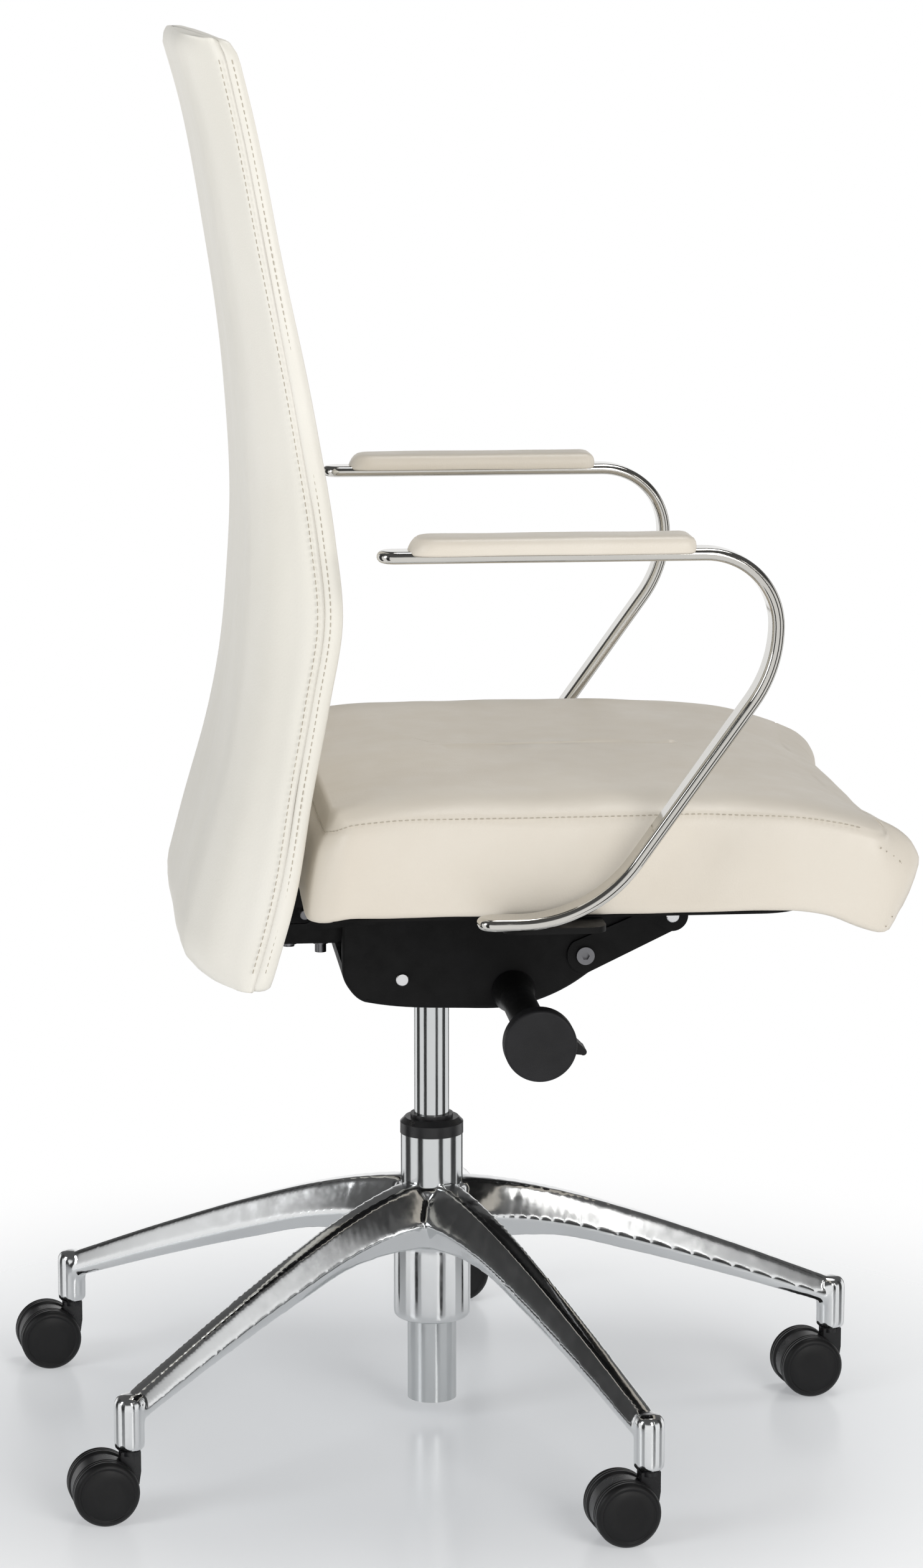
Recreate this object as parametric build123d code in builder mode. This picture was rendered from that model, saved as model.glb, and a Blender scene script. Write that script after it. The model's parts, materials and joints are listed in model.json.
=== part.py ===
"""Swivel office chair with a five-star base, gas lift, synchronised tilt and loop arms.

Millimetres. +Z is up and the chair faces -Y, so the sitter's right hand is on the -X side.
The origin is on the floor, on the swivel axis. Side profiles are drawn on a vertical plane
whose x runs forward and whose y is the height above the floor.
"""
from build123d import *
from math import acos, cos, degrees, radians, sin
import os

os.makedirs("parts", exist_ok=True)

# ---------------------------------------------------------------- driving dimensions
RUNNING = 0.05              # radial clearance of a shaft that turns or slides in a hole
GAP = 0.3                   # space between soft or curved neighbours

# base
STEM_CIRCLE_R = 333.0       # caster stems from the swivel axis
FIRST_LEG_DEG = -84.4       # the leg nearest to straight ahead
LEG_COUNT = 5
LEG_STEP_DEG = 360.0 / LEG_COUNT
BOSS_R = 11.6
BOSS_BOTTOM = 53.0
HUB_R = 31.0
HUB_BOTTOM = 83.0
HUB_TOP = 196.0

# gas lift
TUBE_R = 25.0
TUBE_TOP = 235.0
TUBE_BOTTOM = 15.0
TUBE_LOW_R = 19.7
CYLINDER_R = 14.0
CYLINDER_BOTTOM = 145.0
CYLINDER_TOP = 398.0
ROD_R = 5.0

# casters
WHEEL_R = 25.0
WHEEL_WIDTH = 15.0
HOOD_WIDTH = 12.6
HOOD_R = 23.8
NECK_HALF = 7.5
WHEEL_GAP = 0.7
TRAIL = 20.5
STEM_R = 5.5
NECK_TOP = 52.6
AXLE_R = 3.0
CASTER_TRAIL_DEG = 98.0     # direction from each stem to its axle, all trailing to the rear

# mechanism
HOUSING_HALF = 66.0
HOUSING_WALL = 4.0
REAR_PIVOT = (-29.0, 375.0)     # back lever turns here (forward, up)
FRONT_PIVOT = (182.0, 423.0)    # seat bracket turns here
LINK = (-105.0, 430.0)          # seat bracket rests on the back lever here
CONTROL = (58.0, 364.0)         # axis of the knob, height lever and tilt lock
PIN_R = 5.0
LINK_R = 4.0
SPACER_BOLT = (114.0, 392.0)

# seat
SEAT_HALF = 256.0
SEAT_BASE = 464.0
PAN_THICK = 9.0
COVER_THICK = 3.2
BRACKET_TOP = SEAT_BASE - COVER_THICK - 0.2
BRACKET_THICK = 4.6

# arms
ARM_OUT = 285.0             # arm loop's centre plane from the middle
BAR_WIDE = 27.0
BAR_THICK = 9.0

# back
BACK_BOTTOM = 407.0
BACK_TOP = 1100.0
DISH = 18.0                 # how far the middle lies behind the wings
WING_PAD = 20.0             # cushion thickness at the wings
MIDDLE_PAD = 11.0           # and in the middle
SHELL_THICK = 6.0
UPRIGHT_HALF = 40.0
UPRIGHT_THICK = 7.0


# ---------------------------------------------------------------- placing helpers
def side_plane(right=0.0):
    """Vertical plane that faces the sitter's right: x runs forward and y runs up."""
    return Plane(origin=(-right, 0, 0), x_dir=(0, -1, 0), z_dir=(-1, 0, 0))


def cross_plane(forward, up, right=0.0):
    """Plane square to the lateral axis, centred on a side-view point."""
    return Plane(origin=(-right, -forward, up), x_dir=(0, -1, 0), z_dir=(-1, 0, 0))


def radial_plane(angle_deg, distance=0.0):
    """Plane square to a leg: x runs sideways and y runs up."""
    a = radians(angle_deg)
    origin = (distance * cos(a), distance * sin(a), 0)
    return Plane(origin=origin, x_dir=(-sin(a), cos(a), 0), z_dir=(cos(a), sin(a), 0))


def save(solid, name):
    """Labels one finished piece and writes it."""
    solid.label = name
    export_step(solid, f"parts/{name}.step")


def save_pair(right_part, name):
    """Writes a piece made on the sitter's right and its mirror image on the left."""
    save(right_part, f"{name}_right")
    save(mirror(right_part, about=Plane.YZ), f"{name}_left")


# ---------------------------------------------------------------- five-star base
# One leg's cross-sections: distance, top, crease and bottom heights, half widths of the flat
# top band, the crease and the bottom. Near the hub they are wider than the leg's share of the
# star and are trimmed to it, so neighbouring legs meet along clean edges.
LEG_SECTIONS = [
    (0.0, 198.0, 172.0, 148.0, 8.0, 36.0, 30.0),
    (30.0, 197.0, 170.0, 148.0, 8.0, 28.0, 21.0),
    (60.0, 192.5, 166.5, 148.5, 7.8, 21.5, 14.5),
    (100.0, 183.0, 158.5, 146.0, 7.3, 17.3, 11.0),
    (160.0, 163.5, 141.0, 130.0, 6.6, 14.5, 9.2),
    (240.0, 133.0, 114.0, 105.0, 5.9, 12.4, 8.0),
    (STEM_CIRCLE_R - 6, 95.0, 81.0, 75.0, 5.0, 10.8, 7.2),
]
LEG_REACH = 500.0           # anything longer than a leg


def around(radius, angle_deg):
    """Plan point at a radius and direction from the swivel axis."""
    return (radius * cos(radians(angle_deg)), radius * sin(radians(angle_deg)))


def make_leg(angle_deg):
    """Tapered leg with a crease along each flank, trimmed to its share of the star."""
    with BuildPart() as leg:
        for distance, top, crease, bottom, top_half, crease_half, bottom_half in LEG_SECTIONS:
            with BuildSketch(radial_plane(angle_deg, distance)):
                with BuildLine():
                    Polyline(
                        (-top_half, top), (top_half, top), (crease_half, crease),
                        (bottom_half, bottom), (-bottom_half, bottom), (-crease_half, crease),
                        close=True,
                    )
                make_face()
        loft()
        with BuildSketch():
            with BuildLine():
                Polyline(
                    (0, 0), around(LEG_REACH, angle_deg - LEG_STEP_DEG / 2),
                    around(2 * LEG_REACH, angle_deg), around(LEG_REACH, angle_deg + LEG_STEP_DEG / 2),
                    close=True,
                )
            make_face()
        extrude(amount=300, mode=Mode.INTERSECT)
    return leg.part


def make_boss(angle_deg):
    """Upright boss at the end of a leg, domed on top."""
    with BuildPart() as boss:
        with BuildSketch(Plane.XY.offset(BOSS_BOTTOM)):
            with Locations(around(STEM_CIRCLE_R, angle_deg)):
                Circle(BOSS_R)
        extrude(amount=42.5)
        fillet(boss.edges().group_by(Axis.Z)[-1], radius=7.5)
        fillet(boss.edges().group_by(Axis.Z)[0], radius=2.0)
    return boss.part


leg_angles = [FIRST_LEG_DEG + LEG_STEP_DEG * k for k in range(LEG_COUNT)]
stem_points = [around(STEM_CIRCLE_R, angle) for angle in leg_angles]

with BuildPart() as five_star_base:
    for angle in leg_angles:
        add(make_leg(angle))
    with BuildSketch(Plane.XZ):
        with BuildLine():
            Polyline(
                (0, HUB_BOTTOM), (HUB_R - 2.5, HUB_BOTTOM), (HUB_R, HUB_BOTTOM + 2.5),
                (HUB_R, HUB_TOP - 20), (0, HUB_TOP - 20), close=True,
            )
        make_face()
    revolve(axis=Axis.Z)
    for angle in leg_angles:
        add(make_boss(angle))
    # tapered seat for the gas lift's outer tube
    with BuildSketch(Plane.XZ):
        with BuildLine():
            Polyline(
                (0, HUB_BOTTOM - 5), (TUBE_LOW_R + RUNNING, HUB_BOTTOM - 5),
                (TUBE_LOW_R + RUNNING, 120), (TUBE_R + RUNNING, 165),
                (TUBE_R + RUNNING, HUB_TOP + 10), (0, HUB_TOP + 10), close=True,
            )
        make_face()
    revolve(axis=Axis.Z, mode=Mode.SUBTRACT)
    with BuildSketch(Plane.XY.offset(BOSS_BOTTOM - 1)):
        with Locations(*stem_points):
            Circle(STEM_R + RUNNING)
    extrude(amount=29, mode=Mode.SUBTRACT)
save(five_star_base.part, "five_star_base")


# ---------------------------------------------------------------- gas lift
with BuildPart() as column_tube:
    with BuildSketch(Plane.XZ):
        with BuildLine():
            Polyline(
                (ROD_R + 0.06, TUBE_BOTTOM + 1.5), (TUBE_LOW_R - 3, TUBE_BOTTOM + 1.5),
                (TUBE_LOW_R - 3, TUBE_BOTTOM), (TUBE_LOW_R, TUBE_BOTTOM),
                (TUBE_LOW_R, 120), (TUBE_R, 165), (TUBE_R, TUBE_TOP), (TUBE_R - 2, TUBE_TOP),
                (TUBE_R - 2, 172), (TUBE_LOW_R - 2, 128), (TUBE_LOW_R - 2, TUBE_BOTTOM + 4.5),
                (ROD_R + 0.06, TUBE_BOTTOM + 4.5), close=True,
            )
        make_face()
    revolve(axis=Axis.Z)
save(column_tube.part, "column_tube")

with BuildPart() as guide_bush:
    with BuildSketch(Plane.XZ):
        with BuildLine():
            Polyline(
                (CYLINDER_R + RUNNING, 178), (TUBE_R - 2.02, 178), (TUBE_R - 2.02, TUBE_TOP),
                (TUBE_R + 0.3, TUBE_TOP), (TUBE_R + 0.3, TUBE_TOP + 9),
                (TUBE_R - 3.5, TUBE_TOP + 13), (CYLINDER_R + 3, TUBE_TOP + 13),
                (CYLINDER_R + 3, TUBE_TOP + 16), (CYLINDER_R + RUNNING, TUBE_TOP + 16), close=True,
            )
        make_face()
    revolve(axis=Axis.Z)
save(guide_bush.part, "guide_bush")

with BuildPart() as thrust_bearing:
    with BuildSketch(Plane.XY.offset(TUBE_BOTTOM + 4.5)):
        Circle(12)
        Circle(ROD_R + 0.1, mode=Mode.SUBTRACT)
    extrude(amount=6)
save(thrust_bearing.part, "thrust_bearing")

with BuildPart() as piston_rod:
    with BuildSketch(Plane.XZ):
        with BuildLine():
            Polyline(
                (0, TUBE_BOTTOM - 2), (ROD_R - 0.8, TUBE_BOTTOM - 2), (ROD_R - 0.8, TUBE_BOTTOM + 0.2),
                (ROD_R, TUBE_BOTTOM + 0.2), (ROD_R, TUBE_BOTTOM + 10.6),
                (ROD_R + 3, TUBE_BOTTOM + 10.6), (ROD_R + 3, TUBE_BOTTOM + 16),
                (ROD_R, TUBE_BOTTOM + 16), (ROD_R, CYLINDER_BOTTOM + 23), (11.6, CYLINDER_BOTTOM + 23),
                (11.6, CYLINDER_BOTTOM + 33), (0, CYLINDER_BOTTOM + 33), close=True,
            )
        make_face()
    revolve(axis=Axis.Z)
save(piston_rod.part, "piston_rod")

with BuildPart() as retaining_clip:
    with BuildSketch(Plane.XY.offset(TUBE_BOTTOM - 1.4)):
        Circle(9)
        Circle(ROD_R - 0.8, mode=Mode.SUBTRACT)
        with Locations((0, 7)):
            Rectangle(6, 10, mode=Mode.SUBTRACT)
    extrude(amount=1.2)
save(retaining_clip.part, "retaining_clip")

with BuildPart() as pressure_cylinder:
    with BuildSketch(Plane.XZ):
        with BuildLine():
            Polyline(
                (ROD_R + RUNNING, CYLINDER_BOTTOM), (CYLINDER_R - 1, CYLINDER_BOTTOM),
                (CYLINDER_R, CYLINDER_BOTTOM + 1), (CYLINDER_R, 352), (13.2, CYLINDER_TOP),
                (4.55, CYLINDER_TOP), (4.55, CYLINDER_TOP - 14), (11.7, CYLINDER_TOP - 20),
                (11.7, CYLINDER_BOTTOM + 11), (ROD_R + RUNNING, CYLINDER_BOTTOM + 11), close=True,
            )
        make_face()
    revolve(axis=Axis.Z)
save(pressure_cylinder.part, "pressure_cylinder")

with BuildPart() as valve_button:
    with BuildSketch(Plane.XY.offset(CYLINDER_TOP - 8)):
        Circle(4.5)
    extrude(amount=14)
    chamfer(valve_button.edges().group_by(Axis.Z)[-1], length=0.8)
save(valve_button.part, "valve_button")


# ---------------------------------------------------------------- tilt mechanism
def lateral_pin(place, radius, half_length):
    """Plain round pin across the chair through a side-view point."""
    with BuildPart() as pin:
        with BuildSketch(cross_plane(*place)):
            Circle(radius)
        extrude(amount=half_length, both=True)
        chamfer(pin.edges().filter_by(GeomType.CIRCLE), length=0.6)
    return pin.part


with BuildPart() as mechanism_housing:
    with BuildSketch(side_plane()):
        with BuildLine():
            belly = Spline((-58, 357), (-33, 353), (20, 350.5), (58, 351), (84, 358), (112, 373))
            Polyline(
                belly @ 1, (150, 400), (172, 412), (172, 440), (120, 441), (-76, 424), (-76, 384)
            )
            Spline((-76, 384), (-70, 367), belly @ 0, tangents=((0, -1), (1, -0.35)))
        make_face()
    extrude(amount=HOUSING_HALF, both=True)
    fillet(mechanism_housing.faces().sort_by(Axis.X)[0].edges().filter_by(GeomType.BSPLINE), radius=3)
    fillet(mechanism_housing.faces().sort_by(Axis.X)[-1].edges().filter_by(GeomType.BSPLINE), radius=3)
    # open trough that holds the springs and the back lever, with a low wall at the rear
    with BuildSketch(side_plane()):
        with BuildLine():
            Polyline(
                (-70, 388), (-66, 372), (-52, 361.5), (-30, 357.5), (56, 355.5), (80, 361.5),
                (108, 378), (148, 405), (164, 416), (164, 460), (-90, 460), (-90, 388), close=True,
            )
        make_face()
    extrude(amount=HOUSING_HALF - HOUSING_WALL, both=True, mode=Mode.SUBTRACT)
    # socket for the gas lift's cone
    with BuildSketch(Plane.XY.offset(352)):
        Circle(20)
    extrude(amount=CYLINDER_TOP - 352)
    with BuildSketch(Plane.XZ):
        with BuildLine():
            Polyline(
                (0, 340), (CYLINDER_R + 0.02, 340), (CYLINDER_R + 0.02, 352),
                (13.22, CYLINDER_TOP), (13.22, CYLINDER_TOP + 5), (0, CYLINDER_TOP + 5), close=True,
            )
        make_face()
    revolve(axis=Axis.Z, mode=Mode.SUBTRACT)
    # bores for the rear pin, the spacer bolts and the two controls
    for place, radius in ((REAR_PIVOT, PIN_R + 0.01), (SPACER_BOLT, 4.01), (CONTROL, 8.05)):
        with BuildSketch(cross_plane(*place)):
            Circle(radius)
        extrude(amount=HOUSING_HALF + 5, both=True, mode=Mode.SUBTRACT)
save(mechanism_housing.part, "mechanism_housing")

with BuildPart() as rear_pivot_pin:
    add(lateral_pin(REAR_PIVOT, PIN_R, HOUSING_HALF + 2.2))
save(rear_pivot_pin.part, "rear_pivot_pin")

with BuildPart() as front_pivot_pin:
    add(lateral_pin(FRONT_PIVOT, PIN_R, 76.0))
save(front_pivot_pin.part, "front_pivot_pin")

ARM_IN = HOUSING_HALF + 0.1     # inner face of the front support arms
ARM_PLATE = 3.6
with BuildPart() as support_arm:
    with BuildSketch(side_plane(ARM_IN)):
        with BuildLine():
            lobe = CenterArc(SPACER_BOLT, 14, 130, 150)
            nose = CenterArc(FRONT_PIVOT, 12, -60, 150)
            Line(lobe @ 1, nose @ 0)
            Line(nose @ 1, lobe @ 0)
        make_face()
        with Locations(FRONT_PIVOT):
            Circle(PIN_R + 0.01, mode=Mode.SUBTRACT)
        with Locations(SPACER_BOLT):
            Circle(4.01, mode=Mode.SUBTRACT)
    extrude(amount=ARM_PLATE)
save_pair(support_arm.part, "front_support_arm")

with BuildPart() as spacer_bolts:
    for side in (1, -1):
        with BuildSketch(side_plane(side * (HOUSING_HALF - HOUSING_WALL - 4))):
            with Locations(SPACER_BOLT):
                Circle(4)
        extrude(amount=side * (ARM_PLATE + HOUSING_WALL + 4.1))
        with BuildSketch(side_plane(side * (ARM_IN + ARM_PLATE))):
            with Locations(SPACER_BOLT):
                Circle(7)
                RegularPolygon(3.2, 6, mode=Mode.SUBTRACT)
        extrude(amount=side * 3.4)
        with BuildSketch(side_plane(side * (HOUSING_HALF - HOUSING_WALL))):
            with Locations(SPACER_BOLT):
                RegularPolygon(7, 6)
        extrude(amount=side * -4)
save(spacer_bolts.part, "spacer_bolts")

SPRING_COIL_R = 11.0
SPRING_WIRE_R = 2.4
SPRING_TURNS = 3
with BuildPart() as tension_springs:
    for start in (25.0, -43.0):
        with BuildLine() as coil:
            Helix(
                pitch=6.0, height=6.0 * SPRING_TURNS, radius=SPRING_COIL_R,
                center=(-start, -REAR_PIVOT[0], REAR_PIVOT[1]), direction=(-1, 0, 0),
            )
        with BuildSketch(coil.line ^ 0):
            Circle(SPRING_WIRE_R)
        sweep(path=coil.line, is_frenet=True)
save(tension_springs.part, "tension_springs")


# ---------------------------------------------------------------- hand controls
KNOB_R = 27.3
KNOB_IN = 236.0
KNOB_OUT = 252.0
SLEEVE_IN = HOUSING_HALF + 3.0
SLEEVE_OUT = KNOB_IN - 1.0
SLEEVE_R = 13.0
CONTROL_SHAFT_R = 6.0
CONTROL_COLLAR_R = 7.5


def control_sleeve(end, finger_reach):
    """Hollow handle round the control shaft, flared at the root, with a finger blade."""
    with BuildPart() as sleeve:
        with BuildSketch(cross_plane(*CONTROL, right=SLEEVE_IN)):
            Circle(17)
        with BuildSketch(cross_plane(*CONTROL, right=SLEEVE_IN + 24)):
            Circle(SLEEVE_R)
        loft()
        with BuildSketch(cross_plane(*CONTROL, right=SLEEVE_IN + 24)):
            Circle(SLEEVE_R)
        extrude(amount=end - SLEEVE_IN - 24)
        with BuildSketch(cross_plane(*CONTROL, right=SLEEVE_IN - 10)):
            Circle(8.0)
        extrude(amount=12)
        with BuildSketch(cross_plane(*CONTROL, right=end - 22)):
            with BuildLine():
                top = Spline((0, 12), (20, 5), (finger_reach, -7))
                tip = ThreePointArc(top @ 1, (finger_reach + 1.5, -10), (finger_reach - 2.5, -11.5))
                Line(tip @ 1, (0, -8))
                Line((0, -8), top @ 0)
            make_face()
        extrude(amount=20)
        with BuildSketch(cross_plane(*CONTROL, right=SLEEVE_IN - 12)):
            Circle(CONTROL_SHAFT_R + RUNNING)
        extrude(amount=end - SLEEVE_IN + 20, mode=Mode.SUBTRACT)
    return sleeve.part


save(control_sleeve(SLEEVE_OUT, 35.0), "height_lever")
save(mirror(control_sleeve(200.0, 35.0), about=Plane.YZ), "tilt_lock_lever")

with BuildPart() as tension_knob_shaft:
    with BuildSketch(cross_plane(*CONTROL, right=50)):
        Circle(CONTROL_SHAFT_R)
    extrude(amount=KNOB_IN + 8 - 50)
    with BuildSketch(cross_plane(*CONTROL, right=46)):
        Circle(CONTROL_COLLAR_R)
    extrude(amount=6)
save(tension_knob_shaft.part, "tension_knob_shaft")

with BuildPart() as tension_knob_grip:
    with BuildSketch(cross_plane(*CONTROL, right=KNOB_IN)):
        Circle(KNOB_R)
    extrude(amount=KNOB_OUT - KNOB_IN)
    fillet(tension_knob_grip.edges().group_by(Axis.X)[0], radius=2.5)
    fillet(tension_knob_grip.edges().group_by(Axis.X)[-1], radius=1.5)
    with BuildSketch(cross_plane(*CONTROL, right=KNOB_IN)):
        Circle(CONTROL_SHAFT_R)
    extrude(amount=8, mode=Mode.SUBTRACT)
save(tension_knob_grip.part, "tension_knob_grip")

with BuildPart() as tilt_lock_shaft:
    with BuildSketch(cross_plane(*CONTROL, right=-50)):
        Circle(CONTROL_SHAFT_R)
    extrude(amount=-154)
    with BuildSketch(cross_plane(*CONTROL, right=-46)):
        Circle(CONTROL_COLLAR_R)
    extrude(amount=-6)
    with BuildSketch(cross_plane(*CONTROL, right=-200.6)):
        Circle(11)
    extrude(amount=-3.4)
save(tilt_lock_shaft.part, "tilt_lock_shaft")


# ---------------------------------------------------------------- back support
LEVER_IN = 46.0
LEVER_PLATE = 5.0
LEVER_OUT = LEVER_IN + LEVER_PLATE
FLANGE_BOTTOM = 402.0
FLANGE_THICK = 6.0
UPRIGHT_MID = FLANGE_BOTTOM + FLANGE_THICK + UPRIGHT_THICK / 2
BACK_BOLTS = ((-115.0, 7.0), (-90.0, 12.0))     # forward position, length below the flange

with BuildPart() as back_lever:
    with BuildSketch(side_plane(LEVER_IN)):
        with BuildLine():
            hub = CenterArc(REAR_PIVOT, 12, -130, 175)
            Polyline(
                hub @ 1, (-60, 436), (-94, 442), (-120, 438), (-125, 430), (-125, FLANGE_BOTTOM),
                (-80, FLANGE_BOTTOM), (-72, 405), (-62, 405), hub @ 0,
            )
        make_face()
        with Locations(REAR_PIVOT):
            Circle(PIN_R + RUNNING, mode=Mode.SUBTRACT)
        with Locations(LINK):
            Circle(LINK_R + 0.01, mode=Mode.SUBTRACT)
    extrude(amount=LEVER_PLATE)
    mirror(about=Plane.YZ)
    with BuildSketch(side_plane()):
        with BuildLine():
            Polyline(
                (-125, FLANGE_BOTTOM), (-80, FLANGE_BOTTOM),
                (-80, FLANGE_BOTTOM + FLANGE_THICK), (-125, FLANGE_BOTTOM + FLANGE_THICK), close=True,
            )
        make_face()
    extrude(amount=LEVER_IN, both=True)
    for forward, _ in BACK_BOLTS:
        with BuildSketch(Plane.XY.offset(FLANGE_BOTTOM - 1)):
            with Locations((26, -forward), (-26, -forward)):
                Circle(4.01)
        extrude(amount=FLANGE_THICK + 2, mode=Mode.SUBTRACT)
save(back_lever.part, "back_lever")

with BuildPart() as link_pin:
    add(lateral_pin(LINK, LINK_R, 76.0))
save(link_pin.part, "link_pin")

UPRIGHT_PATH = [(-173, 446), (-149, 560), (-131, 650), (-127, 700), (-133, 762)]
with BuildPart() as back_upright:
    with BuildSketch(side_plane()):
        with BuildLine():
            flat = Line((-86, UPRIGHT_MID), (-150, UPRIGHT_MID))
            rise = Spline(UPRIGHT_PATH, tangents=((0.2, 1), (-0.12, 1)))
            bend = Spline(flat @ 1, (-168, 423), rise @ 0, tangents=((-1, 0), (0.2, 1)))
        trace(line_width=UPRIGHT_THICK)
    extrude(amount=UPRIGHT_HALF, both=True)
    for forward, _ in BACK_BOLTS:
        with BuildSketch(Plane.XY.offset(FLANGE_BOTTOM)):
            with Locations((26, -forward), (-26, -forward)):
                Circle(4.01)
        extrude(amount=20, mode=Mode.SUBTRACT)
save(back_upright.part, "back_upright")

with BuildPart() as back_bolts:
    for forward, below in BACK_BOLTS:
        with BuildSketch(Plane.XY.offset(FLANGE_BOTTOM - 0.1)):
            with Locations((26, -forward), (-26, -forward)):
                Circle(4)
        extrude(amount=FLANGE_THICK + UPRIGHT_THICK + 0.1)
        with BuildSketch(Plane.XY.offset(FLANGE_BOTTOM)):
            with Locations((26, -forward), (-26, -forward)):
                Circle(6.5)
        extrude(amount=-5)
        with BuildSketch(Plane.XY.offset(FLANGE_BOTTOM - 5)):
            with Locations((26, -forward), (-26, -forward)):
                Circle(4.5)
        extrude(amount=5 - below)
        with BuildSketch(Plane.XY.offset(FLANGE_BOTTOM + FLANGE_THICK + UPRIGHT_THICK)):
            with Locations((26, -forward), (-26, -forward)):
                Circle(6.5)
        extrude(amount=4)
save(back_bolts.part, "back_bolts")


# ---------------------------------------------------------------- backrest
# Height, rear surface in the middle, front edge of the wings, half width.
BACK_SECTIONS = [
    (BACK_BOTTOM, -213.0, -142.0, 245.0),
    (480.0, -193.5, -121.5, 242.0),
    (560.0, -171.5, -107.0, 238.0),
    (620.0, -160.5, -95.5, 235.0),
    (680.0, -155.0, -84.5, 232.0),
    (740.0, -152.5, -90.5, 229.0),
    (820.0, -155.5, -103.5, 225.0),
    (950.0, -171.5, -128.5, 218.0),
    (1040.0, -188.0, -146.0, 213.0),
    (BACK_TOP, -205.0, -160.0, 210.0),
]
# Plan shape of the rear and flanks: part of the half width, part of the depth to the seam.
FLANK_SHAPE = [(0.45, 0.015), (0.72, 0.11), (0.85, 0.32), (0.93, 0.60), (0.985, 0.86)]


def back_plan(height):
    """Horizontal plane whose x runs to the sitter's right and whose y runs forward."""
    return Plane(origin=(0, 0, height), x_dir=(1, 0, 0), z_dir=(0, 0, -1))


def rear_section(height, rear, edge, half):
    """Closed outline of everything behind the cushion."""
    seam = edge - WING_PAD
    middle = edge - DISH - MIDDLE_PAD
    depth = seam - rear
    flank = [(half * across, rear + depth * deep) for across, deep in FLANK_SHAPE]
    mirrored = [(-x, y) for x, y in reversed(flank)]
    with BuildSketch(back_plan(height)) as section:
        with BuildLine():
            Spline((-half, seam), *mirrored, (0, rear), *flank, (half, seam))
            ThreePointArc((half, seam), (0, middle), (-half, seam))
        make_face()
    return section.sketch


def band_section(height, edge, half, back_sides, back_middle, front_sides, front_middle):
    """Curved band across the back between two arcs, each given by its depths behind the edge."""
    with BuildSketch(back_plan(height)) as section:
        with BuildLine():
            ThreePointArc((-half, edge - back_sides), (0, edge - back_middle), (half, edge - back_sides))
            Line((half, edge - back_sides), (half, edge - front_sides))
            ThreePointArc((half, edge - front_sides), (0, edge - front_middle), (-half, edge - front_sides))
            Line((-half, edge - front_sides), (-half, edge - back_sides))
        make_face()
    return section.sketch


def shell_section(height, edge, half):
    """Section of the inner shell, which follows the back of the cushion."""
    inset = 45.0
    flat = (MIDDLE_PAD + DISH - WING_PAD) * (1 - ((half - inset) / half) ** 2)
    sides = WING_PAD + flat
    middle = DISH + MIDDLE_PAD
    return band_section(
        height, edge, half - inset, sides + SHELL_THICK, middle + SHELL_THICK, sides, middle
    )


def cushion_section(height, edge, half):
    """Section of the front cushion, full at the wings and thinner in the middle."""
    return band_section(height, edge, half, WING_PAD - GAP, DISH + MIDDLE_PAD - GAP, 0.0, DISH)


with BuildPart() as back_inner_shell:
    loft(
        sections=[shell_section(height, edge, half) for height, _, edge, half in BACK_SECTIONS[1:-1]],
        ruled=True,
    )
save(back_inner_shell.part, "back_inner_shell")

with BuildPart() as back_rear_cover:
    loft(sections=[rear_section(*section) for section in BACK_SECTIONS], ruled=True)
    add(back_inner_shell.part, mode=Mode.SUBTRACT)
    # pocket for the upright bar, open at the bottom of the front
    with BuildSketch(side_plane()):
        with BuildLine():
            pocket = Spline(UPRIGHT_PATH, tangents=((0.2, 1), (-0.12, 1)))
            foot = Spline((-150, UPRIGHT_MID), (-168, 423), pocket @ 0, tangents=((-1, 0), (0.2, 1)))
            Line((-110, UPRIGHT_MID), foot @ 0)
        trace(line_width=UPRIGHT_THICK + 1.0)
    extrude(amount=UPRIGHT_HALF + 0.5, both=True, mode=Mode.SUBTRACT)
save(back_rear_cover.part, "back_rear_cover")

with BuildPart() as back_front_cushion:
    loft(
        sections=[cushion_section(height, edge, half) for height, _, edge, half in BACK_SECTIONS],
        ruled=True,
    )
    with BuildSketch(Plane.XY.offset(BACK_BOTTOM - 1)):
        with Locations((0, 150)):
            Rectangle(2 * LEVER_OUT + 30, 80)
    extrude(amount=22, mode=Mode.SUBTRACT)
save(back_front_cushion.part, "back_front_cushion")


# ---------------------------------------------------------------- seat
EAR_IN = HOUSING_HALF + 4.0
EAR_THICK = 3.0
SEAT_BOLTS = ((-70.0, 86.0), (150.0, 86.0))     # forward, sideways
BRACKET_HALF = 98.0

with BuildPart() as seat_bracket:
    with BuildSketch(Plane.XY.offset(BRACKET_TOP - BRACKET_THICK)):
        with Locations((0, -35)):
            RectangleRounded(2 * BRACKET_HALF, 320, 14)
    extrude(amount=BRACKET_THICK)
    for side in (1, -1):
        with BuildSketch(side_plane(side * EAR_IN)):
            with BuildLine():
                nose = CenterArc(FRONT_PIVOT, 12.5, -100, 100)
                Polyline(
                    nose @ 1, (194.5, BRACKET_TOP - 2), (-124, BRACKET_TOP - 2), (-131, 440),
                    (-131, 418), (-92, 418), (60, 428), (150, 428), nose @ 0,
                )
            make_face()
            with Locations(FRONT_PIVOT):
                Circle(PIN_R + RUNNING, mode=Mode.SUBTRACT)
            with Locations((LINK[0] - 7.5, LINK[1] - 1.2)):
                SlotOverall(26, 13, mode=Mode.SUBTRACT)
            with Locations((-10, 437)):
                Circle(3, mode=Mode.SUBTRACT)
        extrude(amount=side * EAR_THICK)
    with BuildSketch(Plane.XY.offset(BRACKET_TOP - 10)):
        for forward, sideways in SEAT_BOLTS:
            with Locations((sideways, -forward), (-sideways, -forward)):
                Circle(3.3)
    extrude(amount=20, mode=Mode.SUBTRACT)
save(seat_bracket.part, "seat_bracket")

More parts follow.
